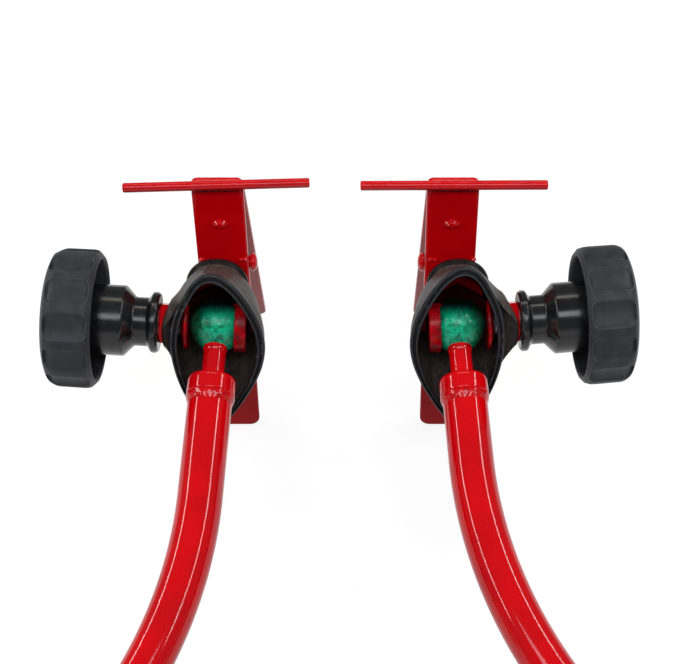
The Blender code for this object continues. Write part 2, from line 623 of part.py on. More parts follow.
# middle of the pair's depth on Y = 0
bpy.context.view_layer.update()
depths = []
for ob in bpy.data.objects:
    if not ob.hide_render:
        depths += [(ob.matrix_world @ v.co).y for v in ob.data.vertices]
middle = (min(depths) + max(depths)) / 2
for ob in bpy.data.objects:
    ob.location.y -= middle
at = np.array((CLAMP_X, -middle, CLAMP_Z)) + ball_place()
print("ball", at.round(6), "arm direction", arm_path(0.0, RIGHT_BEND_START)[1].round(6))
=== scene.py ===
import json
import math

import bmesh
import bpy
import numpy as np
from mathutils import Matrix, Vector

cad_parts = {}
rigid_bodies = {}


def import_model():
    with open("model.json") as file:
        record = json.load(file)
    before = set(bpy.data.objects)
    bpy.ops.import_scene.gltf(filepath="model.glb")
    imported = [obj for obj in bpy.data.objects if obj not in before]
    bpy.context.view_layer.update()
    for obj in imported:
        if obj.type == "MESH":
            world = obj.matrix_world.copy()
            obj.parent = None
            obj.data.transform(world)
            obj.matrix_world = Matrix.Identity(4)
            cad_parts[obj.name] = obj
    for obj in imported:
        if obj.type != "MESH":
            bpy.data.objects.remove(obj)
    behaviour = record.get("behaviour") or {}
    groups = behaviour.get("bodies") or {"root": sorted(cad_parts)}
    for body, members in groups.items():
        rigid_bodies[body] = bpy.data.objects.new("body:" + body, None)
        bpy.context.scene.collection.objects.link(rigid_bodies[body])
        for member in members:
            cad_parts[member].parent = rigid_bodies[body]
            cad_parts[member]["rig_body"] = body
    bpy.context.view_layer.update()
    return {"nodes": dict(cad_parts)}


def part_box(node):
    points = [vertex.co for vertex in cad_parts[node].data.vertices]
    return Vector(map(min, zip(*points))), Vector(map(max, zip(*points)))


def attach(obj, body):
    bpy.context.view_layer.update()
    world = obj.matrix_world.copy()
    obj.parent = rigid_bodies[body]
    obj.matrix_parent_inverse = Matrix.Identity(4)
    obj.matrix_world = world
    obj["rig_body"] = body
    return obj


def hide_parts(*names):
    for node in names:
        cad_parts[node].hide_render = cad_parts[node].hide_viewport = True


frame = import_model()

# every shape is drawn once, from the clamp's or the ball's middle: away from the pair's middle, back, up
sides = {"left": -1, "right": 1}
# the screw's outer end lies a little back and up, and the ball sits inward of the clamp's middle on its line
screw = {"swing": math.radians(2.1), "tilt": math.radians(2.5), "inward": 0.0025}
swingCos, swingSin = math.cos(screw["swing"]), math.sin(screw["swing"])
tiltCos, tiltSin = math.cos(screw["tilt"]), math.sin(screw["tilt"])
screwTurn = (np.array(((swingCos, -swingSin, 0), (swingSin, swingCos, 0), (0, 0, 1)))
             @ np.array(((tiltCos, 0, -tiltSin), (0, 1, 0), (tiltSin, 0, tiltCos))))
ballAt = {name: np.mean(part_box(name + "_ball"), axis=0) for name in sides}
clampAt = {name: ballAt[name] + screw["inward"] * screwTurn[:, 0] * (sides[name], 1, 1) for name in sides}
clampY = clampAt["right"][1]
floorZ = -clampAt["right"][2]  # the floor, seen from the clamp's middle


def placed(name, data):
    # an object of the given data, put into the scene
    thing = bpy.data.objects.new(name, data)
    bpy.context.scene.collection.objects.link(thing)
    return thing


def toLinear(code):
    # sRGB hex to the linear colour that the shader takes
    share = np.array([int(code[i:i + 2], 16) for i in (1, 3, 5)]) / 255
    low, high = share / 12.92, ((share + 0.055) / 1.055) ** 2.4
    return (*np.where(share <= 0.04045, low, high), 1.0)


def addNode(near, kind, sockets, **settings):
    # one node in the tree that near is in: its settings, then each socket gets a value or what feeds it
    tree = near.id_data
    node = tree.nodes.new(kind)
    for key, value in settings.items():
        setattr(node, key, value)
    for key, value in sockets.items():
        if isinstance(value, bpy.types.NodeSocket):
            tree.links.new(value, node.inputs[key])
        else:
            node.inputs[key].default_value = value
    return node


def startFinish(name, mirror=0.5, index=1.5, **fixed):
    # a Principled surface with its fixed values on its own sockets, and coordinates in metres
    finish = bpy.data.materials.new(name)
    finish.use_nodes = True
    shader = finish.node_tree.nodes["Principled BSDF"]
    for key, value in {"Specular IOR Level": mirror, "IOR": index, **fixed}.items():
        shader.inputs[key].default_value = value
    return finish, shader, addNode(shader, "ShaderNodeTexCoord", {}).outputs["Object"]


def perMetre(millimetres):
    # texture scale whose pattern repeats about every so many millimetres
    return 1000.0 / millimetres


def noise(where, millimetres, detail=2.0, **sockets):
    # cloudy pattern about so many millimetres across
    sockets.update({"Vector": where, "Scale": perMetre(millimetres), "Detail": detail})
    return addNode(where, "ShaderNodeTexNoise", sockets).outputs["Fac"]


def spots(where, millimetres):
    # distance from the nearest of many scattered points
    sockets = {"Vector": where, "Scale": perMetre(millimetres)}
    return addNode(where, "ShaderNodeTexVoronoi", sockets).outputs["Distance"]


def ranged(value, span, to=(0.0, 1.0), **settings):
    # value carried from one span over to another and held at its ends
    sockets = {"Value": value, "From Min": span[0], "From Max": span[1], "To Min": to[0], "To Max": to[1]}
    return addNode(value, "ShaderNodeMapRange", sockets, **settings).outputs["Result"]


def mixed(share, first, second):
    # the first colour at share nought, the second at one; a colour is a hex code or an output
    first, second = (toLinear(tint) if isinstance(tint, str) else tint for tint in (first, second))
    return addNode(share, "ShaderNodeMix", {0: share, 6: first, 7: second}, data_type="RGBA").outputs[2]


def worked(operation, first, second=0.0, **settings):
    # one step of arithmetic
    return addNode(first, "ShaderNodeMath", {0: first, 1: second}, operation=operation, **settings).outputs[0]


def alongAxis(vector, axis):
    # one coordinate of a vector
    return addNode(vector, "ShaderNodeSeparateXYZ", {0: vector}).outputs[axis]


def geometry(shader, name):
    # what the surface itself says: its normal, or how much it stands out as an edge
    return addNode(shader, "ShaderNodeNewGeometry", {}).outputs[name]


def feed(shader, colour, roughness=None, height=None, bump=None):
    # what drives the surface: colour, roughness, and a bump (strength, distance) from a height pattern
    outputs = {"Base Color": colour, "Roughness": roughness}
    if bump:
        sockets = {"Height": height, "Strength": bump[0], "Distance": bump[1]}
        outputs["Normal"] = addNode(shader, "ShaderNodeBump", sockets).outputs["Normal"]
    for key, output in outputs.items():
        if output is not None:
            shader.id_data.links.new(output, shader.inputs[key])


patchy = (0.3, 0.7)  # where most of a noise pattern lies

# gloss enamel over steel: wet-looking red with lamp lines, faint orange peel, deeper where it pooled; a
# thinner coat on the flat bars and the nut, which mirrors less of the floor
enamel = {"red": "#d2000a", "deep": "#c0000d", "pool": 26.0, "pooled": (0.35, 0.7), "dulled": (0.3, 0.75),
          "gloss": (0.055, 0.105), "peel": 1.8, "peelBump": (0.10, 0.0001)}
enamelMirror = {"glossRedEnamel": 0.3, "thinRedEnamel": 0.12}
redCoats = []
for coatName, mirror in enamelMirror.items():
    coat, shader, metres = startFinish(coatName, mirror)
    pool = noise(metres, enamel["pool"], 3.0)
    peel = noise(metres, enamel["peel"], 1.0)
    redMix = mixed(ranged(pool, enamel["pooled"]), enamel["red"], enamel["deep"])
    feed(shader, redMix, ranged(pool, enamel["dulled"], enamel["gloss"]), peel, enamel["peelBump"])
    redCoats.append(coat)
redEnamel, barEnamel = redCoats

# the same enamel over weld metal: runs thin on the ripples, so it sparkles in specks and dips dark between
weldCoat = {"red": "#d2000a", "deep": "#b2000c", "ripple": 3.6, "dips": (0.36, 0.56), "spatter": 4.6,
            "nibs": (0.0, 0.4), "lumpBump": (0.1, 0.0005)}
redWeld, shader, metres = startFinish("redEnamelOverWeld", 0.4, Roughness=0.09)
ripple = noise(metres, weldCoat["ripple"])
nibs = ranged(spots(metres, weldCoat["spatter"]), weldCoat["nibs"], (1.0, 0.0))
redMix = mixed(ranged(ripple, weldCoat["dips"]), weldCoat["deep"], weldCoat["red"])
feed(shader, redMix, None, worked("ADD", nibs, ripple), weldCoat["lumpBump"])

# enamel inside the boot and on the weld under the rod: dulled by old grease, with painted shade in its darker
# red and in the near black further back
jawCoat = {"red": "#b4040f", "dark": "#6d0710", "paintedShade": "#1a0607", "smear": 5.0, "smeared": (0.35, 0.65),
           "sheen": (0.16, 0.34), "deep": 0.016, "shadeDarkest": 0.9}
jawEnamel, shader, metres = startFinish("shadedGreasyRedEnamel", 0.14)
smear = noise(metres, jawCoat["smear"], 4.0)
jawMix = mixed(ranged(smear, jawCoat["smeared"]), jawCoat["red"], jawCoat["dark"])
# painted shade: the colour goes to near black further back, behind the clamp's middle
shadeShare = ranged(alongAxis(metres, "Y"), (clampY, clampY + jawCoat["deep"]), (0.0, jawCoat["shadeDarkest"]))
shadedMix = mixed(shadeShare, jawMix, jawCoat["paintedShade"])
feed(shader, shadedMix, ranged(smear, patchy, jawCoat["sheen"]))

# moulded EPDM: near black, satin, a brown-grey bloom of dust in streaks on what faces up, not on the collar
bootFill = {"black": "#141313", "bloom": "#85766f", "upward": (0.0, 0.9), "dusty": (0.06, 0.55), "cloud": 9.0,
            "clouded": (0.30, 0.72), "cloudDust": (0.55, 1.0), "scuff": 2.2, "scuffed": (0.34, 0.70),
            "scuffDust": (0.5, 1.0), "streak": (1.0, 0.22, 1.0), "wipedFrom": 0.0345, "wipedTo": 0.0355,
            "wipedDust": (1.0, 0.15), "satin": (0.34, 0.8), "skin": 0.9, "skinBump": (0.12, 0.0002)}
bootRubber, shader, metres = startFinish("mouldedEpdmRubber", 0.07)
cloud = noise(metres, bootFill["cloud"], 4.0, Roughness=0.62)
streak = addNode(metres, "ShaderNodeMapping", {"Vector": metres, "Scale": bootFill["streak"]})
scuff = noise(streak.outputs["Vector"], bootFill["scuff"], 3.0)
dust = ranged(alongAxis(geometry(shader, "Normal"), "Z"), bootFill["upward"], bootFill["dusty"])
dust = worked("MULTIPLY", dust, ranged(cloud, bootFill["clouded"], bootFill["cloudDust"]))
dust = worked("MULTIPLY", dust, ranged(scuff, bootFill["scuffed"], bootFill["scuffDust"]))
wiped = ranged(alongAxis(metres, "Y"), (clampY + bootFill["wipedFrom"], clampY + bootFill["wipedTo"]),
               bootFill["wipedDust"])
dust = worked("MULTIPLY", dust, wiped)
feed(shader, mixed(dust, bootFill["black"], bootFill["bloom"]),
     ranged(dust, (0.0, 1.0), bootFill["satin"]), noise(metres, bootFill["skin"]), bootFill["skinBump"])

# the rim of the boot, handled and so wiped: the same rubber, darker, with a closer shine and a pale painted
# highlight along its ridges
rimFill = {"black": "#121314", "rubbed": "#232527", "ridgeHighlight": "#5d6063", "ridges": (0.505, 0.56), "patch": 7.0,
           "shine": (0.24, 0.40), "skin": 0.8, "skinBump": (0.08, 0.0002)}
rimRubber, shader, metres = startFinish("wipedEpdmRubber", 0.2)
patch = noise(metres, rimFill["patch"], 4.0)
rimMix = mixed(patch, rimFill["black"], rimFill["rubbed"])
# painted highlight: a pale colour along the rim's ridges
ridgeHighlight = ranged(geometry(shader, "Pointiness"), rimFill["ridges"])
feed(shader, mixed(ridgeHighlight, rimMix, rimFill["ridgeHighlight"]), ranged(patch, patchy, rimFill["shine"]),
     noise(metres, rimFill["skin"]), rimFill["skinBump"])

# dip-moulded PVC of the sleeve: black with a cool soft shine, finger marks that dull it in patches
sleeveFill = {"black": "#101113", "mark": "#1e1f21", "patch": 11.0, "marked": (0.36, 0.68),
              "shine": (0.15, 0.24), "skin": 1.1, "skinBump": (0.06, 0.0002)}
sleeveVinyl, shader, metres = startFinish("mouldedBlackVinyl", 0.4)
patch = noise(metres, sleeveFill["patch"], 4.0)
vinylMix = mixed(ranged(patch, sleeveFill["marked"]), sleeveFill["black"], sleeveFill["mark"])
feed(shader, vinylMix, ranged(patch, patchy, sleeveFill["shine"]),
     noise(metres, sleeveFill["skin"]), sleeveFill["skinBump"])

# spark-textured glass-filled nylon of the knob: matte blue-grey, paler in clouds, with a painted highlight
# along its edges, the grain drawn coarser than the real 0.2 mm to show
knobFill = {"grey": "#26282b", "pale": "#3d4147", "cloud": 8.0, "clouded": (0.36, 0.7), "cloudPale": 0.45,
            "edges": (0.512, 0.56), "edgeHighlight": (0.0, 0.7), "grain": 0.75, "matte": (0.44, 0.62),
            "grainBump": (0.22, 0.0002)}
knobNylon, shader, metres = startFinish("sparkTexturedNylon", 0.25, 1.53)
cloud = noise(metres, knobFill["cloud"], 5.0)
grain = noise(metres, knobFill["grain"])
paler = worked("MULTIPLY", ranged(cloud, knobFill["clouded"]), knobFill["cloudPale"])
# painted highlight: paler where the surface stands out as an edge
edge = ranged(geometry(shader, "Pointiness"), knobFill["edges"], knobFill["edgeHighlight"])
cloudAndHighlightShare = worked("ADD", paler, edge, use_clamp=True)
feed(shader, mixed(cloudAndHighlightShare, knobFill["grey"], knobFill["pale"]),
     ranged(grain, patchy, knobFill["matte"]), grain, knobFill["grainBump"])

# green enamel on the ball, rubbed by the jaws: mottled, with broken glints; painted shade turns it black
# above and towards the knob; above is the way to the ball's upper back over its radius, so that it gives one
# there
ballCoat = {"green": "#06b987", "dark": "#046a4c", "pale": "#3ccf9f", "paintedShade": "#04120d", "mottle": 6.0,
            "mottled": (0.34, 0.56), "rub": 1.8, "rubbed": (0.56, 0.74), "rubPale": (0.0, 0.4),
            "rubTurn": (0.3, 0.5, 0.9), "rubStretch": (1.0, 0.3, 1.0), "above": (0.0, 36.7, 43.8),
            "unshadedAbove": (0.72, 0.02), "outer": (0.001, 0.0140), "unshadedOuter": (1.0, 0.2),
            "glint": (0.10, 0.24), "rubBump": (0.6, 0.0006)}
ballEnamel, shader, metres = startFinish("rubbedGreenEnamel", 0.3)
mottle = noise(metres, ballCoat["mottle"], 4.0, Roughness=0.55, Distortion=1.0)
slant = addNode(metres, "ShaderNodeMapping", {"Vector": metres, "Rotation": ballCoat["rubTurn"],
                                              "Scale": ballCoat["rubStretch"]})
rub = noise(slant.outputs["Vector"], ballCoat["rub"], 3.0)
greenMix = mixed(ranged(mottle, ballCoat["mottled"]), ballCoat["dark"], ballCoat["green"])
rubbedMix = mixed(ranged(rub, ballCoat["rubbed"], ballCoat["rubPale"]), greenMix, ballCoat["pale"])
fromMiddle = addNode(metres, "ShaderNodeVectorMath", {0: metres, 1: tuple(ballAt["right"])},
                     operation="SUBTRACT")
facing = addNode(metres, "ShaderNodeVectorMath", {0: fromMiddle.outputs["Vector"], 1: ballCoat["above"]},
                 operation="DOT_PRODUCT")
# painted shade: black over the ball's upper back and towards the knob, where the boot and jaws shade it
unshadedAbove = ranged(facing.outputs["Value"], ballCoat["unshadedAbove"], interpolation_type="SMOOTHSTEP")
outX = worked("ABSOLUTE", alongAxis(metres, "X"))
unshadedOuter = ranged(outX, [abs(ballAt["right"][0]) + reach for reach in ballCoat["outer"]],
                    ballCoat["unshadedOuter"], interpolation_type="SMOOTHSTEP")
ballMix = mixed(worked("MULTIPLY", unshadedAbove, unshadedOuter), ballCoat["paintedShade"], rubbedMix)
feed(shader, ballMix, ranged(rub, patchy, ballCoat["glint"]), worked("ADD", mottle, rub), ballCoat["rubBump"])

# zinc plate on the screw and insert: pale metal, faint spangle and turned rings round the axis
zincPlate = {"pale": "#b9bcc0", "dull": "#94979b", "spangle": 2.5, "brushed": (0.28, 0.45), "turning": 4.2,
             "waver": 0.6, "turnBump": (0.3, 0.0002)}
zincSteel, shader, metres = startFinish("zincPlatedSteel", Metallic=1.0)
spangle = spots(metres, zincPlate["spangle"])
turning = addNode(metres, "ShaderNodeTexWave", {"Vector": metres, "Scale": perMetre(zincPlate["turning"]),
                                                "Distortion": zincPlate["waver"]}, bands_direction="X")
feed(shader, mixed(spangle, zincPlate["pale"], zincPlate["dull"]),
     ranged(spangle, (0.0, 1.0), zincPlate["brushed"]), turning.outputs["Fac"], zincPlate["turnBump"])


def dress(name, side, grid, finish, node, stands=True, loopRows=False, sharp=34, middle=clampAt):
    # quads between neighbours of grid[i, j], columns closed round; mirrored for the left stand and set in
    # place, faces outward, poles merged
    points = middle[side] + grid * (sides[side], 1, 1)
    rows, cols = points.shape[:2]
    index = np.arange(rows * cols).reshape(rows, cols)
    here = index if loopRows else index[:-1]
    onward = np.roll(index, -1, 0)[:len(here)]
    quads = np.stack((here, np.roll(here, -1, 1), np.roll(onward, -1, 1), onward), -1).reshape(-1, 4)
    flat = points.reshape(-1, 3)
    a, b, c, d = (flat[quads[:, k]] - middle[side] for k in range(4))
    if np.sum(a * np.cross(b, c)) + np.sum(a * np.cross(c, d)) < 0:
        quads = quads[:, ::-1]
    mesh = bpy.data.meshes.new(f"{side}_{name}")
    mesh.vertices.add(len(flat))
    mesh.vertices.foreach_set("co", flat.ravel())
    mesh.loops.add(quads.size)
    mesh.loops.foreach_set("vertex_index", np.ascontiguousarray(quads).ravel())
    mesh.polygons.add(len(quads))
    mesh.polygons.foreach_set("loop_start", np.arange(0, quads.size, 4))
    mesh.update(calc_edges=True)
    work = bmesh.new()
    work.from_mesh(mesh)
    bmesh.ops.remove_doubles(work, verts=work.verts, dist=1e-6)
    work.to_mesh(mesh)
    work.free()
    mesh.shade_smooth()
    mesh.set_sharp_from_angle(angle=math.radians(sharp))
    mesh.materials.append(finish)
    piece = placed(f"{side}_{name}", mesh)
    solid = f"{side}_{node}"
    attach(piece, frame["nodes"][solid]["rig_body"])
    if stands:
        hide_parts(solid)


joined = np.concatenate  # rows one after another


def lengths(vectors):
    # length of each vector
    return np.linalg.norm(vectors, axis=-1, keepdims=True)


def unit(vectors):
    # each vector made one long
    return vectors / lengths(vectors)


def runAlong(path):
    # length of the path as far as each of its points
    return joined(([0], np.cumsum(lengths(np.diff(path, axis=0)))))


def eased(points, cut, steps=6):
    # a drawn line with each corner made a parabola, from cut before the corner to cut after it
    line = np.asarray(points, float)
    corner, back, on = line[1:-1], line[:-2] - line[1:-1], line[2:] - line[1:-1]
    backLen, onLen = lengths(back), lengths(on)
    cut = np.minimum(cut, 0.38 * np.minimum(backLen, onLen))  # neighbouring corners stay apart
    first, last = corner + back / backLen * cut, corner + on / onLen * cut
    t = np.linspace(0, 1, steps + 1)[None, :, None]
    arcs = (1 - t) ** 2 * first[:, None] + 2 * t * (1 - t) * corner[:, None] + t ** 2 * last[:, None]
    lead, trail = first + 0.2 * cut * back / backLen, last + 0.2 * cut * on / onLen  # keep the flats flat
    arcs = joined((lead[:, None], arcs, trail[:, None]), 1)
    return joined((line[:1], arcs.reshape(-1, line.shape[1]), line[-1:]))


def through(knots, values, at):
    # smooth line through the values: cubic between knots, its slope at each knot the mean rise round it
    slope = np.gradient(values, knots, axis=0)
    i = np.clip(np.searchsorted(knots, at, "right") - 1, 0, len(knots) - 2)
    step = knots[i + 1] - knots[i]
    t = (at - knots[i]) / step
    if values.ndim > 1:
        t, step = t[:, None], step[:, None]
    return ((2 * t ** 3 - 3 * t ** 2 + 1) * values[i] + (t ** 3 - 2 * t ** 2 + t) * step * slope[i]
            + (3 * t ** 2 - 2 * t ** 3) * values[i + 1] + (t ** 3 - t ** 2) * step * slope[i + 1])


def roundTurn(count, phase=0.0):
    # count angles once round, from phase
    return phase + 2 * math.pi * np.arange(count) / count


def turned(profile, axis=(1.0, 0.0, 0.0), count=96, start=(0.0, 0.0, 0.0)):
    # start + axis * along + radius * (cos t * level + sin t * upright), for each (along, radius) of the
    # profile; a radius can be one number or one for each t
    axis = np.asarray(axis, float)
    level = unit(np.cross(axis, (0.0, 0.0, 1.0)))
    t = roundTurn(count)[:, None]
    ring = np.cos(t) * level + np.sin(t) * np.cross(level, axis)
    return np.asarray(start) + profile[:, :1, None] * axis + profile[:, 1:, None] * ring


def aboutScrew(along, radius, t):
    # rings about a level screw: out by along, then by radius to the front at t nought and upward from there
    return np.stack((np.broadcast_to(along, radius.shape), -radius * np.cos(t), radius * np.sin(t)), -1)


def roundedBox(width, height, upper, lower, steps=8):
    # outline of a rectangle about its middle, quarter circles of one radius above and of another below
    t = np.radians(np.array((0, 90, 180, 270))[:, None] + np.linspace(0, 90, steps + 1)).ravel()
    radius = np.repeat((upper, upper, lower, lower), steps + 1)
    right, above = np.repeat((1, -1, -1, 1), steps + 1), np.repeat((1, 1, -1, -1), steps + 1)
    width, height = np.asarray(width)[..., None], np.asarray(height)[..., None]
    return np.stack((right * (width / 2 - radius) + radius * np.cos(t),
                     above * (height / 2 - radius) + radius * np.sin(t)), -1)


def swung(grid):
    # drawn along a level screw, then turned to the screw's own line
    return grid @ screwTurn.T


# the photo's camera, before the clamps and above the floor, looking down
view = {"lens": 80.0, "frame": 36.0, "before": 0.7168, "above": 0.7212, "down": 40.0}
camera = bpy.data.cameras.new("photoCamera")
camera.lens, camera.sensor_width, camera.sensor_fit = view["lens"], view["frame"], "HORIZONTAL"
cameraObject = placed("photoCamera", camera)
cameraObject.location = (0.0, clampY - view["before"], view["above"])
cameraObject.rotation_euler = (math.radians(90.0 - view["down"]), 0.0, 0.0)
bpy.context.scene.camera = cameraObject
print("camera set")

# flat bars: hot rolled, corners rounded, long edges rolled over
bars = {"width": 0.032, "thick": 0.005, "x": -0.0048, "topCorner": 0.0036, "corner": 0.0065, "edge": 0.0014,
        "flatFrom": 2.2, "strapY": 0.042, "strapTop": 0.2046, "slant": 0.329, "legTop": 0.1960,
        "splay": 0.590, "gap": 0.0003, "lean": {"left": 0.0188, "right": -0.0115},
        "footOut": {"left": -0.0020, "right": 0.0012}}


def flatBar(front, height, thick, splay):
    # rounded outline carried from front to back, faces drawn in along a quarter circle, leaning by splay
    turn = np.linspace(0, math.pi / 2, 7)
    depth = bars["edge"] * (1 - np.cos(turn))
    inset = bars["edge"] * (1 - np.sin(turn))
    face = np.array((bars["width"], bars["flatFrom"] * bars["edge"]))  # the face's middle and its flat
    depth = joined(([0, 0], depth, thick - depth[::-1], [thick, thick]))
    inset = joined((face, inset, inset[::-1], face[::-1]))[:, None, None]
    full = roundedBox(bars["width"], height, bars["topCorner"], bars["corner"])
    share = 1 - np.minimum(inset, bars["width"] / 2) / (np.array((bars["width"], height)) / 2)
    flat = full * np.where(inset >= bars["width"], 0, share)
    up = flat[..., 1] + floorZ + height / 2
    y = front + depth[:, None] + splay * (floorZ + height - up)
    if splay == 0:  # the strap's head is sheared on a slant, lower in front
        sheared = up + bars["slant"] * (depth[:, None] - thick) * 2 * flat[..., 1] / height
        up = np.where(flat[..., 1] > 0, sheared, up)
    return np.stack((flat[..., 0] + bars["x"], y, up), -1)


def leaned(grid, side):
    # each frame stands a little off plumb: out by footOut at the floor and by lean for each metre above it
    grid = grid.copy()
    grid[..., 0] += bars["footOut"][side] + bars["lean"][side] * (grid[..., 2] - floorZ)
    return grid


legFront = bars["strapY"] + bars["thick"] + bars["gap"]
legThick = bars["thick"] * math.hypot(1, bars["splay"])
strapGrid = flatBar(bars["strapY"], bars["strapTop"], bars["thick"], 0.0)
legGrid = flatBar(legFront, bars["legTop"], legThick, bars["splay"])
for side in sides:
    dress("strapBar", side, leaned(strapGrid, side), barEnamel, "front_strap")
    dress("legBar", side, leaned(legGrid, side), barEnamel, "rear_leg")
print("straps and legs rolled")

# rod across the strap's head, the pin through strap and leg, and the stub behind the strap
rod = {"radius": 0.003, "length": 0.114, "drop": 0.0010, "round": 0.0012,
       "tilt": {"left": 1.9, "right": -0.3}}
pin = {"radius": 0.004, "up": 0.1725, "peak": 0.0026, "blunt": 0.0025, "foot": 0.0054, "sunk": 0.0004,
       "squat": 0.68, "power": 1.4, "round": 0.0012}
stub = {"radius": 0.006, "shank": 0.0042, "length": 0.028, "proud": 0.0046, "up": 0.1340, "round": 0.0012}
rodY, rodUp = bars["strapY"] - rod["radius"] - bars["gap"], floorZ + bars["strapTop"] - rod["drop"]
half = rod["length"] / 2
rodLine = eased(((-half, 0), (-half, rod["radius"]), (half, rod["radius"]), (half, 0)), rod["round"])
pinTip = eased(((-pin["peak"], 0), (-pin["peak"], pin["blunt"]), (0.0003, pin["foot"]),
                (pin["sunk"], pin["radius"])), 0.0004)
pinEnd = legFront + bars["splay"] * (bars["legTop"] - pin["up"] + pin["radius"]) + legThick + pin["peak"]
pinTail = eased(((pinEnd - 0.004, pin["radius"]), (pinEnd, pin["radius"]), (pinEnd, 0)), pin["round"])
pinGrid = turned(joined((pinTip + (bars["strapY"], 0), pinTail)), (0, 1, 0), 96)
# the pin's head is a squat diamond: |x|^p + |z / squat|^p is one all round it
wide, tall = np.abs(pinGrid[..., 0]), np.abs(pinGrid[..., 2]) / pin["squat"]
ringR = np.hypot(pinGrid[..., 0], pinGrid[..., 2])
diamond = ringR / np.maximum((wide ** pin["power"] + tall ** pin["power"]) ** (1 / pin["power"]), 1e-9)
diamond = np.where(pinGrid[..., 1] < bars["strapY"] + pin["sunk"], diamond, 1)
pinGrid = pinGrid * np.stack((diamond, np.ones(diamond.shape), diamond), -1)
stubHead = np.array(((0, 0), (0.07, 0.45), (0.22, 0.75), (0.44, 0.93), (0.70, 1), (0.88, 0.96), (1, 0.7)))
stubLine = joined((eased(stubHead * (stub["proud"], stub["radius"]), stub["round"]),
                   ((stub["length"], stub["shank"]), (stub["length"], 0))))
stubAt = (bars["x"] - bars["width"] / 2 - stub["proud"], legFront + stub["radius"], floorZ + stub["up"])
for side in sides:
    fallen = math.radians(rod["tilt"][side])  # how far the rod's outer end hangs
    rodGrid = turned(rodLine, (math.cos(fallen), 0, -math.sin(fallen)), 48, (bars["x"], rodY, rodUp))
    dress("crossRod", side, leaned(rodGrid, side), redEnamel, "top_rod")
    dress("pinHead", side, leaned(pinGrid + (bars["x"], 0, floorZ + pin["up"]), side), redEnamel, "brace_pin")
    dress("stubEnd", side, turned(stubLine, count=48, start=stubAt), redEnamel, "side_stub")
print("rods, pins and stubs turned")

# weld beads: a half-round bead along a path, swelling and thinning with the torch's steps
weld = {"step": 0.0028, "swell": 0.22, "half": 0.0138, "front": 0.0010, "below": 0.0009, "width": 0.0034,
        "height": 0.0016, "lift": (0, -0.8, -0.6)}


def bead(path, width, height, lift, count=14):
    # oval section along the path, its size rippled by two sines of the length and closed small at both ends
    run = runAlong(path)
    along = unit(np.gradient(path, run, axis=0))
    lift = np.broadcast_to(np.asarray(lift, float), path.shape)
    across = unit(np.cross(along, lift))
    swell = 1 + weld["swell"] * (0.6 * np.sin(run * 2 * math.pi / weld["step"])
                                 + 0.4 * np.sin(run * 2 * math.pi / (2.7 * weld["step"]) + 1.1))
    taper = np.sqrt(np.clip(np.minimum(run, run[-1] - run) / width, 0, 1))
    size = (swell * taper)[:, None, None]
    t = roundTurn(count)[None, :, None]
    return path[:, None] + size * (width * np.cos(t) * across[:, None] + height * np.sin(t) * lift[:, None])


span = np.linspace(-weld["half"], weld["half"], 90)[:, None]
weldAt = np.array((bars["x"], bars["strapY"] - weld["front"], rodUp - rod["radius"] - weld["below"]))
# tacks where the post meets the strap, blunt cones (out, up, radius, height)
tacks = {"tackOuter": (0.0094, 0.0182, 0.0019, 0.0016), "tackInner": (-0.0178, 0.0186, 0.0017, 0.0015),
         "tackLow": (-0.0150, 0.0182, 0.0015, 0.0014)}
tackSunk = 0.0004
for side in sides:
    weldPath = weldAt + span * (1, 0, -math.tan(math.radians(rod["tilt"][side])))
    lowBead = bead(weldPath, weld["width"], weld["height"], weld["lift"])
    # the weld under the rod takes the shaded enamel: its dark band is painted shade
    dress("rodWeld", side, leaned(lowBead, side), jawEnamel, "front_strap", False)
    for name, (out, up, radius, height) in tacks.items():
        tackLine = eased(((-tackSunk, 0), (-tackSunk, radius), (0, radius), (height, 0.5 * radius),
                          (height, 0)), 0.0004)
        tackGrid = turned(tackLine, (0, -1, 0), 32, (out, bars["strapY"], up))
        dress(name, side, tackGrid, redWeld, "front_strap", False)
print("frame welds laid")

# clamp: yoke, two jaws, nut; the nut and all outside it stand off the screw's line, as the photo shows: a
# little low on the left, further out and tilted up on the right
setOff = {"left": (0.0, 0.0, -0.0013), "right": (0.0020, 0.0, -0.0002)}
rises = {"left": 0.0, "right": 0.028, "from": 0.034}


def offLine(grid, side):
    # a piece outside the nut: moved by setOff, and up by rises for each metre beyond the sleeve's bead
    grid = grid + setOff[side]
    grid[..., 2] += rises[side] * (grid[..., 0] - rises["from"])
    return grid


yoke = {"outIn": 0.0225, "outThick": 0.0028, "inIn": 0.0212, "inThick": 0.0030, "half": 0.0108,
        "backDown": 0.0070, "backUp": 0.0050, "frontOut": -0.0105, "frontIn": 0.0065, "backY": 0.0198,
        "backThick": 0.0036, "bendOut": 0.0240, "bendIn": 0.0160, "share": 0.85, "gable": 0.0095,
        "gableHalf": 0.0155, "edge": 0.0007, "fallStart": 0.005, "fallLen": 0.011, "endShare": 0.86,
        "endOut": 0.0004}


def yokeSide(inner, thick, bend, front):
    # a cheek's inside and outside line, from above: straight, then a quarter circle to the back plate
    turn, lines = np.radians(np.linspace(0, 90, 19)), []
    for out, back, radius in ((inner, yoke["backY"], yoke["share"] * bend),
                              (inner + thick, yoke["backY"] + yoke["backThick"], bend)):
        straight = np.linspace(front, back - radius, 9)[:-1]
        curve = np.stack((out - radius * (1 - np.cos(turn)), back - radius * (1 - np.sin(turn))), 1)
        lines.append(joined((np.stack((0 * straight + out, straight), 1), curve)))
    return lines


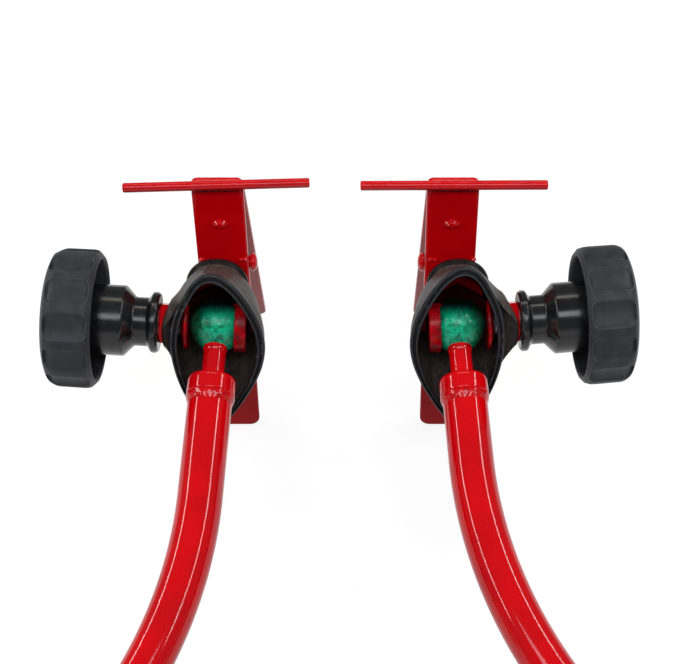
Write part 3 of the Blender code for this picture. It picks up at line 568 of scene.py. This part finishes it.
outLines = yokeSide(yoke["outIn"], yoke["outThick"], yoke["bendOut"], yoke["frontOut"])
inLines = yokeSide(yoke["inIn"], yoke["inThick"], yoke["bendIn"], yoke["frontIn"])
between = np.linspace(0, 1, 17)[1:-1, None]
near, far = (joined((a, a[-1] + between * (b[-1] * (-1, 1) - a[-1]), b[::-1] * (-1, 1)))
             for a, b in zip(outLines, inLines))
fall = np.clip((far[:, 1] - yoke["fallStart"]) / yoke["fallLen"], 0, 1)
top = yoke["half"] + (yoke["backUp"] - yoke["half"]) * fall
top = top + yoke["gable"] * np.clip(1 - np.abs(near[:, 0]) / yoke["gableHalf"], 0, 1)
down = yoke["half"] + (yoke["backDown"] - yoke["half"]) * fall
wide = np.linalg.norm(far - near, axis=1)
section = roundedBox(wide, top + down, yoke["edge"], yoke["edge"], 4)
flatPlace = (near + far)[:, None] / 2 + section[..., :1] * ((far - near) / wide[:, None])[:, None]
yokeGrid = joined((flatPlace, section[..., 1:] + ((top - down) / 2)[:, None, None]), -1)
ends = yokeGrid[[0, -1]].mean(1, keepdims=True)
drawn = ends + yoke["endShare"] * (yokeGrid[[0, -1]] - ends) - (0, yoke["endOut"], 0)
ends = np.repeat(ends, section.shape[1], 1)
yokeGrid = joined((ends[:1], drawn[:1], yokeGrid, drawn[1:], ends[1:]))

jaw = {"radius": 0.0168, "lip": 0.0136, "seat": 0.0178, "face": 0.0153, "movingBack": 0.0198,
       "fixedBack": 0.0209, "hole": 0.0053, "trim": 0.0020, "coneFrom": 0.0090, "coneTo": 0.0172,
       "fixedRound": 0.0011, "movingRound": 0.0008, "seatFrom": 0.0009}
lipR = math.sqrt(jaw["seat"] ** 2 - (jaw["lip"] - screw["inward"]) ** 2)
cupR = lipR * np.linspace(1, 0, 24)[1:]


def seatAt(radius):
    # the fixed jaw's seat: the ball's sphere, on the inner side
    return -screw["inward"] - np.sqrt(np.maximum(jaw["seat"] ** 2 - radius ** 2, 0))


def jawDisc(line, seated):
    # line turned about the screw; at the back every ring ends on the trim plane, the seat's on the seat
    t = roundTurn(96)
    limit = jaw["trim"] / np.maximum(-np.cos(t), 1e-3)
    over = line[:, 1:] > limit
    along = np.where(over & seated[:, None], seatAt(limit), line[:, :1])
    return swung(aboutScrew(along, np.where(over, limit, line[:, 1:]), t))


fixedRim = eased(((-jaw["fixedBack"], 0), (-jaw["fixedBack"], jaw["radius"]), (-jaw["lip"], jaw["radius"]),
                  (-jaw["lip"], lipR)), jaw["fixedRound"])
movingLine = eased(((jaw["movingBack"], jaw["hole"]), (jaw["movingBack"], jaw["coneFrom"]),
                    (jaw["coneTo"], jaw["radius"]), (jaw["face"], jaw["radius"]),
                    (jaw["face"], jaw["hole"])), jaw["movingRound"])
fixedLine = joined((fixedRim, np.stack((seatAt(cupR), cupR), 1)))
fixedGrid = jawDisc(fixedLine, fixedLine[:, 0] > -jaw["fixedBack"] + jaw["seatFrom"])
movingGrid = jawDisc(movingLine, np.zeros(len(movingLine), bool))

nut = {"across": 0.0240, "start": 0.0256, "thick": 0.0075, "bore": 0.0082, "phase": math.radians(35.0),
       "columns": 144, "bevel": 0.0016, "bevelFrom": 0.505, "bevelSlope": 1.7}
t = roundTurn(nut["columns"])
hexR = nut["across"] / 2 / np.cos((t % (math.pi / 3)) - math.pi / 6)
nutAlong = joined((np.linspace(0, nut["bevel"], 8),
                   np.linspace(nut["thick"] - nut["bevel"], nut["thick"], 8)))
cone = nut["bevelFrom"] * nut["across"] + np.minimum(nutAlong, nut["thick"] - nutAlong) * nut["bevelSlope"]
boreR = np.full((1, nut["columns"]), nut["bore"])
nutR = joined((boreR, np.minimum(hexR[None], cone[:, None]), boreR))
nutAlong = nut["start"] + joined((nutAlong[:1], nutAlong, nutAlong[-1:]))
nutGrid = aboutScrew(nutAlong[:, None], nutR, t + nut["phase"])
for side in sides:
    # the yoke and jaws take the shaded enamel, darkened as painted shade inside the boot
    dress("yokeStrip", side, swung(yokeGrid), jawEnamel, "socket_yoke")
    dress("fixedJawCup", side, fixedGrid, jawEnamel, "fixed_jaw")
    dress("movingJawCup", side, movingGrid, jawEnamel, "moving_jaw", loopRows=True)
    dress("hexNut", side, swung(nutGrid + setOff[side]), barEnamel, "clamp_nut", loopRows=True, sharp=25)
print("clamps forged")

# rubber boot: bead on the post, flaring body, slanted eye-shaped mouth with a rolled rim, nose for the nut
boot = {"rise": 0.0024, "wall": 0.0018, "bore": 0.0153, "boreRun": (0.0355, 0.0405), "columns": 288,
        "outerEnd": 0.955, "innerEnd": 0.92, "seamAngle": 79.0, "seamWide": 0.0009, "seamHigh": 0.0006}
# each station: top y and z, bottom y and z, half width outward and inward, share of the eye shape
bootStations = np.array((
    (0.0405, 0.0170, 0.0405, -0.0198, 0.0184, 0.0184, 0.0),
    (0.0399, 0.0181, 0.0399, -0.0209, 0.0195, 0.0195, 0.0),
    (0.0388, 0.0185, 0.0388, -0.0213, 0.0199, 0.0199, 0.0),
    (0.0370, 0.0184, 0.0370, -0.0212, 0.0198, 0.0198, 0.0),
    (0.0356, 0.0175, 0.0356, -0.0203, 0.0189, 0.0189, 0.0),
    (0.0342, 0.0170, 0.0342, -0.0197, 0.0184, 0.0184, 0.0),
    (0.0310, 0.0186, 0.0310, -0.0215, 0.0196, 0.0205, 0.0),
    (0.0220, 0.0238, 0.0180, -0.0310, 0.0234, 0.0257, 0.15),
    (0.0100, 0.0304, 0.0020, -0.0430, 0.0256, 0.0292, 0.5),
    (0.0010, 0.0361, -0.0160, -0.0530, 0.0266, 0.0316, 0.9),
    (-0.0060, 0.0408, -0.0340, -0.0595, 0.0254, 0.0319, 1.0)))
# the right boot is pulled up at the mouth: added to the top of its last three stations
pulledUp = {"left": 0.0, "right": 1.0}
pull = np.zeros(bootStations.shape)
pull[-3:, :2] = ((0.0012, 0.0010), (0.0022, 0.0022), (0.0030, 0.0032))
# the rim's section: in from the mouth's edge, and towards the viewer
rimLine = np.array(((0.0003, -0.0042), (-0.0009, -0.0004), (-0.0004, 0.0014), (0.0010, 0.0018),
                    (0.0022, 0.0002), (0.0030, 0.0000), (0.0040, 0.0014), (0.0053, 0.0010),
                    (0.0058, -0.0012), (0.0044, -0.0050)))
# the nose: distance from the screw, reach along it above and behind, reach along it in front
noseLine = np.array(((0, 0.0302, 0.0302), (0.0134, 0.0302, 0.0302), (0.0144, 0.0298, 0.0299),
                     (0.0164, 0.0270, 0.0284), (0.0182, 0.0236, 0.0270), (0.0205, 0.0198, 0.0252),
                     (0.0235, 0.0160, 0.0226), (0.0300, 0.0080, 0.0160), (0.0700, -0.0420, -0.0300)))
noseMore = {"left": 0.0, "right": 0.0034}
# the nose's end is cut slanting on the side that is up in the photo, so that the nut shows above it
noseSlant = {"by": 0.0036, "byMore": 0.6, "from": 0.0140, "to": 0.0190, "upward": (0.0, 0.643, 0.766)}
noseEase, noseThin = 0.003, 0.0016
# the eye: share of its height from the top, share of its half width, outward and inward
eyeOut = np.array(((0, 0), (0.047, 0.390), (0.139, 0.640), (0.252, 0.866), (0.359, 0.969), (0.449, 1.0),
                   (0.526, 0.976), (0.655, 0.870), (0.754, 0.728), (0.880, 0.440), (1, 0)))
eyeIn = np.array(((0, 0), (0.028, 0.270), (0.121, 0.571), (0.214, 0.763), (0.353, 0.953), (0.458, 1.0),
                  (0.577, 0.946), (0.682, 0.814), (0.807, 0.577), (0.903, 0.353), (1, 0)))


def bootRing(stations, inset, t):
    # height share v falls with sin t; half width blends an oval into the eye's table; inset all round
    s = np.asarray(stations)[:, :, None]
    inset = np.reshape(inset, (len(s), -1))
    fall = np.arcsin(np.clip(np.sin(t), -1, 1))
    lens = [through(np.arcsin(1 - 2 * table[::-1, 0]), table[::-1, 1], fall) for table in (eyeOut, eyeIn)]
    lens = np.where(np.cos(t) > 0, lens[0], lens[1])
    width = (1 - s[:, 6]) * np.abs(np.cos(t)) ** 0.9 + s[:, 6] * lens
    half = np.where(np.cos(t) > 0, s[:, 4], s[:, 5]) - inset
    v = (1 - np.sin(t)) / 2
    dropY, dropZ = s[:, 2] - s[:, 0], s[:, 3] - s[:, 1]
    length = np.hypot(dropY, dropZ)
    share = inset / length + v * (1 - 2 * inset / length)
    return np.stack((np.sign(np.cos(t)) * width * half, s[:, 0] + share * dropY, s[:, 1] + share * dropZ), -1)


def nosed(rows, thin, further, off):
    # outward half pushed along the screw to the nose's cone, the larger of the two reaches eased by noseEase
    rows = rows + (0, 0, boot["rise"])
    straight = rows @ screwTurn - (0, off[1], off[2])
    away = np.hypot(straight[..., 1], straight[..., 2])
    reach = through(noseLine[:, 0], noseLine[:, 1:], away.ravel()).reshape(*away.shape, 2)
    front = np.clip(-straight[..., 1] / np.maximum(away, 1e-6), 0, 1) ** 2
    cone = reach[..., 0] + front * (reach[..., 1] - reach[..., 0]) - thin + further
    above = np.clip(straight @ noseSlant["upward"] / noseSlant["from"], 0, 1)
    near = np.clip((noseSlant["to"] - away) / (noseSlant["to"] - noseSlant["from"]), 0, 1)
    cone = cone - (noseSlant["by"] + noseSlant["byMore"] * further) * above * near
    larger = (straight[..., 0] + cone + np.hypot(straight[..., 0] - cone, noseEase)) / 2
    straight[..., 0] = np.where(rows[..., 0] > 0, larger, straight[..., 0])
    return swung(straight + (0, off[1], off[2]))


t = roundTurn(boot["columns"], math.pi / boot["columns"])
rimCurve = eased(rimLine, 0.0009, 5)
narrow = 0.80 + 0.20 * np.sin(t) - 0.10 * np.clip(np.cos(t), 0, 1)  # broad above, narrow below and by the nut
bore = boot["bore"]
boreRows = bootRing([(y, bore, y, -bore, bore, bore, 0.0) for y in boot["boreRun"]], (0, 0), t)
boreRows = boreRows + (0, 0, boot["rise"])
for side in sides:
    stations = bootStations + pulledUp[side] * pull
    bootRun = runAlong(stations[:, :6])
    rimFrom = boot["outerEnd"] * bootRun[-1]
    outerRun = joined((np.linspace(0, bootRun[5], 24), np.linspace(bootRun[5], rimFrom, 84)[1:]))
    outerRows = bootRing(through(bootRun, stations, outerRun), np.zeros(len(outerRun)), t)
    innerRun = np.linspace(boot["innerEnd"] * bootRun[-1], bootRun[6], 50)
    innerRows = bootRing(through(bootRun, stations, innerRun), np.full(len(innerRun), boot["wall"]), t)
    mouth = stations[-1:]
    slope = unit(mouth[0, 2:4] - mouth[0, :2])
    forward = np.array((0.0, slope[1], -slope[0]))  # square to the mouth, towards the viewer
    rimRows = bootRing(np.repeat(mouth, len(rimCurve), 0), rimCurve[:, :1] * narrow, t)
    rimRows = rimRows + (0, 0, boot["rise"]) + rimCurve[:, 1:, None] * forward
    bootGrid = joined((nosed(outerRows, 0.0, noseMore[side], setOff[side]), rimRows[[0, -1]],
                       nosed(innerRows, noseThin, noseMore[side], setOff[side]), boreRows))
    seamRun = np.linspace(bootRun[1], rimFrom, 60)
    seamAngle = np.radians((boot["seamAngle"],))
    seamLine = bootRing(through(bootRun, stations, seamRun), np.zeros(60), seamAngle)[:, 0]
    seamGrid = bead(seamLine + (0, 0, boot["rise"]), boot["seamWide"], boot["seamHigh"], (0, -0.3, 1), 10)
    dress("bootShell", side, bootGrid, bootRubber, "ball_boot", loopRows=True, sharp=60)
    dress("bootRim", side, rimRows, rimRubber, "ball_boot", False, loopRows=True, sharp=60)
    dress("bootSeam", side, seamGrid, bootRubber, "ball_boot", False, sharp=60)
print("boots moulded")

# sleeve over the screw: bead against the nut, neck, cone and bell that runs into the knob
sleeve = {"start": 0.0335, "bead": 0.0190, "beadLen": 0.0062, "neck": 0.0152, "neckLen": 0.0090,
          "coneLen": 0.0064, "bell": 0.0220, "bellLen": 0.0278, "wall": 0.0026, "round": 0.0011}
s0 = sleeve["start"]
s1 = s0 + sleeve["beadLen"]
s2 = s1 + sleeve["neckLen"]
s3 = s2 + sleeve["coneLen"]
s4 = s3 + sleeve["bellLen"]
beadR, neckR, bellR = sleeve["bead"], sleeve["neck"], sleeve["bell"]
neckIn, bellIn = neckR - sleeve["wall"], bellR - sleeve["wall"]
sleeveOut = eased(((s0, neckIn), (s0, beadR - 0.0012), (s0 + 0.0016, beadR), (s1 - 0.0018, beadR),
                   (s1 - 0.0003, neckR + 0.0014), (s1 + 0.0008, neckR), (s2, neckR), (s3, bellR),
                   (s4 - 0.0042, bellR), (s4 - 0.0020, bellR + 0.0010), (s4, bellR + 0.0006), (s4, bellIn),
                   (s3 + 0.0012, bellIn), (s2 + 0.0012, neckIn), (s1, neckIn)), sleeve["round"])
sleeveGrid = turned(sleeveOut, count=128)
for side in sides:
    dress("sleeveSkin", side, swung(offLine(sleeveGrid, side)), sleeveVinyl, "screw_sleeve", loopRows=True,
          sharp=50)
print("sleeves pulled on")

# hand knob: hollow behind, twelve scooped flutes with rounded corners round the outside
knob = {"start": 0.0706, "length": 0.0324, "radius": 0.0433, "lip": 0.0394, "cup": 0.0174, "hub": 0.0188,
        "hubLen": 0.0077, "flutes": 12, "fluteDepth": 0.0026, "fluteHalf": 0.0140, "fluteMiddle": 0.0156,
        "fluteWide": 11.2, "fluteCorner": 0.0056, "fluteEdge": 0.0014, "fluteFlat": 0.22, "perFlute": 32,
        "fineTo": 0.046, "phase": {"left": 31.8, "right": 39.6}}
knobOut = eased(((0, knob["lip"]), (0.0030, 0.0428), (0.0060, knob["radius"]), (0.0238, 0.0431),
                 (0.0286, 0.0406), (0.0315, 0.0336), (0.0322, 0.0240), (knob["length"], 0.0)), 0.0030)
knobRun = runAlong(knobOut)
fine = np.unique(joined((np.linspace(0, knob["fineTo"], 110),
                         np.linspace(knob["fineTo"], knobRun[-1], 14))))
knobOut = np.stack((np.interp(fine, knobRun, knobOut[:, 0]), np.interp(fine, knobRun, knobOut[:, 1])), 1)
cup, hubTop = knob["cup"], knob["cup"] - knob["hubLen"]
knobIn = eased(((knob["length"] - 0.003, 0.0), (hubTop, 0.0), (hubTop, knob["hub"]), (cup, knob["hub"]),
                (cup, 0.0333), (cup - 0.0030, 0.0358), (0.0014, 0.0372), (0.0, 0.0380),
                (0.0, knob["lip"])), 0.0009)[2:-1]
t = roundTurn(knob["flutes"] * knob["perFlute"])
pitch = 2 * math.pi / knob["flutes"]
aside = ((t + pitch / 2) % pitch - pitch / 2) * knob["radius"]
halfWide = math.radians(knob["fluteWide"]) * knob["radius"]
# a flute is a rounded box on the knob's skin: how far outside it each point is, minus within
boxX = np.abs(aside)[None] - halfWide + knob["fluteCorner"]
boxA = np.abs(fine - np.interp(knob["fluteMiddle"], knobOut[:, 0], fine))[:, None] - knob["fluteHalf"]
boxA = boxA + knob["fluteCorner"]
outside = np.hypot(np.maximum(boxX, 0), np.maximum(boxA, 0)) - knob["fluteCorner"]
outside = outside + np.minimum(np.maximum(boxX, boxA), 0)
into = np.clip(-outside / knob["fluteEdge"], 0, 1)
hollow = knob["fluteFlat"] + (1 - knob["fluteFlat"]) * np.clip(1 - (aside / halfWide) ** 2, 0, 1)
scoop = into ** 2 * (3 - 2 * into) * hollow
knobR = joined((np.broadcast_to(knobIn[:, 1:], (len(knobIn), len(t))),
                knobOut[:, 1:] - knob["fluteDepth"] * scoop))
knobAlong = joined((knobIn[:, :1], knobOut[:, :1])) + knob["start"]
for side in sides:
    knobGrid = aboutScrew(knobAlong, knobR, t + math.radians(knob["phase"][side]))
    dress("knobShell", side, swung(offLine(knobGrid, side)), knobNylon, "hand_knob", sharp=50)
print("knobs moulded")

# arm: ball, stem, collar, bent tube and rubber foot; the left tube's bend starts later
arm = {"dip": 24.0, "lean": 3.3, "ball": 0.0175, "stem": 0.0069, "collarStart": 0.0355, "collarLen": 0.0142,
       "collar": 0.0148, "tube": 0.0135, "tubeStart": 0.0500, "bend": 0.265, "endUp": 0.015, "longest": 0.40,
       "bendStart": {"left": 0.113, "right": 0.091}, "foot": 0.0175, "footGrip": 0.030, "footEnd": 0.005,
       "groove": 0.0009}
ahead = unit(np.array((math.tan(math.radians(arm["lean"])), -math.cos(math.radians(arm["dip"])),
                       -math.sin(math.radians(arm["dip"])))))
outward = unit(np.array((1.0, 0.0, 0.0)) - ahead * ahead[0])
square = np.cross(ahead, outward)
armFloor = -ballAt["right"][2]  # the floor, seen from the ball


def alongArm(side, distance, radius, count=96):
    # straight as far as bendStart, then an arc outward; at each distance a circle of radius square to it
    start = arm["bendStart"][side]
    turn = np.maximum(distance - start, 0)[:, None] / arm["bend"]
    straight = np.minimum(distance, start)[:, None]
    middle = ahead * (straight + arm["bend"] * np.sin(turn)) + outward * arm["bend"] * (1 - np.cos(turn))
    across = outward * np.cos(turn) - ahead * np.sin(turn)
    t = roundTurn(count)[None, :, None]
    circle = np.cos(t) * across[:, None] + np.sin(t) * square
    return middle[:, None] + np.reshape(radius, (-1, 1, 1)) * circle


fall = np.radians(np.linspace(-90, 90, 97))
ballR, stemR, collarR = arm["ball"], arm["stem"], arm["collar"]
ballLine = np.stack((ballR * np.sin(fall), ballR * np.cos(fall)), 1)
ballLine[[0, -1], 1] = 0
c0, c1 = arm["collarStart"], arm["collarStart"] + arm["collarLen"]
stemLine = eased(((ballR - 0.0040, 0), (ballR - 0.0040, stemR), (c0 + 0.0010, stemR), (c0 + 0.0010, 0)),
                 0.0006)
rootLine = eased(((ballR - 0.0030, 0), (ballR - 0.0026, stemR + 0.0003), (ballR + 0.0008, stemR + 0.0006),
                  (ballR + 0.0028, stemR - 0.0002), (ballR + 0.0030, 0)), 0.0012)
collarLine = eased(((c0 - 0.0004, 0), (c0 - 0.0004, stemR + 0.0016), (c0 + 0.0002, collarR - 0.0042),
                    (c0 + 0.0022, collarR - 0.0006), (c0 + 0.0044, collarR), (c1 - 0.0014, collarR),
                    (c1, collarR - 0.0012), (c1, 0)), 0.0016)
# weld from the collar down to the tube: falls as a power of a cosine, lumped by three sines round and along
seam = {"columns": 240, "back": 0.0003, "length": 0.0074, "under": 0.0008, "over": 0.0009, "lump": 0.00013,
        "root": 0.010}
lap = np.linspace(0, 1, 40)[:, None]
lapR = arm["tube"] - seam["under"]
lapR = lapR + (collarR - arm["tube"] + seam["over"]) * np.cos(lap * math.pi / 2) ** 1.3
t = roundTurn(seam["columns"])
lumps = np.sin(19 * t + 0.8 + 3 * lap) * np.sin(11 * t + 9 * lap) + 0.4 * np.sin(31 * t - 7 * lap)
seamR = lapR + seam["lump"] * lumps * np.sin(math.pi * lap)
seamAlong = c1 - seam["back"] + seam["length"] * lap
seamAlong = joined((seamAlong[:1], seamAlong, seamAlong[-1:]))
rootR = np.full((1, seam["columns"]), seam["root"])
seamProfile = joined((seamAlong, joined((rootR, seamR, rootR))), 1)
collarSeam = turned(seamProfile, ahead, seam["columns"])
for side in sides:
    trial = np.linspace(arm["bendStart"][side], arm["longest"], 4000)
    tubeEnd = np.interp(-arm["endUp"] - armFloor, -alongArm(side, trial, 0 * trial, 1)[:, 0, 2], trial)
    tubeRun = joined(([arm["tubeStart"]], np.linspace(arm["tubeStart"], tubeEnd, 180), [tubeEnd]))
    tubeR = np.full(len(tubeRun), arm["tube"])
    tubeR[[0, -1]] = 0
    grip, wide, sole = tubeEnd - arm["footGrip"], arm["foot"], tubeEnd + arm["footEnd"]
    groove = wide - arm["groove"]
    footOut = eased(((grip, arm["tube"] + 0.0002), (grip, wide - 0.0004), (grip + 0.0060, wide),
                     (grip + 0.0070, groove), (grip + 0.0082, groove), (grip + 0.0092, wide),
                     (grip + 0.0150, wide), (grip + 0.0160, groove), (grip + 0.0172, groove),
                     (grip + 0.0182, wide), (sole - 0.0002, wide), (sole, wide - 0.0022), (sole, 0)), 0.0012)
    footOut = joined((((grip, 0.0),), footOut))
    footGrid = alongArm(side, footOut[:, 0], footOut[:, 1], 128)
    footGrid[..., 2] = np.maximum(footGrid[..., 2], armFloor)  # the sole is worn flat on the floor
    dress("ballGlobe", side, turned(ballLine, ahead, 128), ballEnamel, "ball", middle=ballAt)
    dress("stemNeck", side, turned(stemLine, ahead, 72), redEnamel, "ball_stem", middle=ballAt)
    dress("stemWeld", side, turned(rootLine, ahead, 72), redWeld, "ball_stem", False, middle=ballAt)
    dress("collarCap", side, turned(collarLine, ahead, 96), redEnamel, "tube_collar", middle=ballAt)
    dress("collarWeld", side, collarSeam, redWeld, "arm_tube", False, loopRows=True, sharp=60, middle=ballAt)
    dress("armTube", side, alongArm(side, tubeRun, tubeR), redEnamel, "arm_tube", middle=ballAt)
    dress("footCap", side, footGrid, bootRubber, "tube_foot", sharp=50, middle=ballAt)
print("arms bent, right tube ends at", round(float(tubeEnd), 4))

# the solids that stay as they are
for side in sides:
    for node, finish in (("socket_post", redEnamel), ("clamp_screw", zincSteel), ("knob_insert", zincSteel)):
        mesh = frame["nodes"][f"{side}_{node}"].data
        mesh.materials.clear()
        mesh.materials.append(finish)

# studio: white card floor, a narrow lamp on either side, a warm box behind and a cool one in front, dim room;
# each lamp: place, two sides, watts, tint
stage = {"floor": 30.0, "fibre": 4.0, "card": (0.18, 0.20), "lift": 0.86, "room": 0.24, "aimUp": 0.10,
         "lamps": {"lampLeft": ((-1.40, 0.10, 0.98), 0.12, 1.9, 12.5, "#ffffff"),
                   "lampRight": ((1.22, 0.10, 1.22), 0.12, 1.9, 12.5, "#ffffff"),
                   "boxBack": ((0.0, 0.62, 1.70), 1.3, 0.24, 4.6, "#fff4e6"),
                   "boxFront": ((0.0, -0.90, 1.30), 1.3, 0.42, 10.5, "#f2f7ff")}}
card, shader, metres = startFinish("whiteCard", 0.1, Roughness=0.9)
tone = ranged(noise(metres, stage["fibre"]), (0.0, 1.0), stage["card"])
cardMix = addNode(metres, "ShaderNodeCombineColor", {"Red": tone, "Green": tone, "Blue": tone})
feed(shader, cardMix.outputs["Color"])
# the card is lifted to white where it is seen, straight or mirrored, and lights nothing by that
path = addNode(metres, "ShaderNodeLightPath", {}).outputs
seen = worked("MAXIMUM", path["Is Camera Ray"], path["Is Glossy Ray"])
seen = worked("MAXIMUM", seen, path["Is Transmission Ray"])
shader.inputs["Emission Color"].default_value = (1, 1, 1, 1)
shader.id_data.links.new(worked("MULTIPLY", seen, stage["lift"]), shader.inputs["Emission Strength"])
size = stage["floor"]
mesh = bpy.data.meshes.new("cardFloor")
mesh.from_pydata([(-size, -size, 0), (size, -size, 0), (size, size, 0), (-size, size, 0)], [], [(0, 1, 2, 3)])
mesh.materials.append(card)
floorCard = placed("cardFloor", mesh)
for name, (place, wide, long, watts, tint) in stage["lamps"].items():
    lamp = bpy.data.lights.new(name, "AREA")
    lamp.shape, lamp.size, lamp.size_y, lamp.energy = "RECTANGLE", wide, long, watts
    lamp.color = toLinear(tint)[:3]
    lampObject = placed(name, lamp)
    lampObject.location = place
    reach = np.array(place) - (0, clampY, stage["aimUp"])  # each lamp faces the clamps
    if abs(reach[0]) > 0.1:  # a lamp at the side turns about the depth, a box about the width
        lampObject.rotation_euler = (0.0, math.atan2(reach[0], reach[2]), 0.0)
    else:
        lampObject.rotation_euler = (-math.atan2(reach[1], reach[2]), 0.0, 0.0)
world = bpy.data.worlds.new("studioRoom")
world.use_nodes = True
room = world.node_tree.nodes["Background"]
room.inputs["Color"].default_value = (1, 1, 1, 1)
room.inputs["Strength"].default_value = stage["room"]
bpy.context.scene.world = world
bpy.context.scene.view_settings.view_transform = "Standard"
print("studio lit")

bpy.context.view_layer.update()
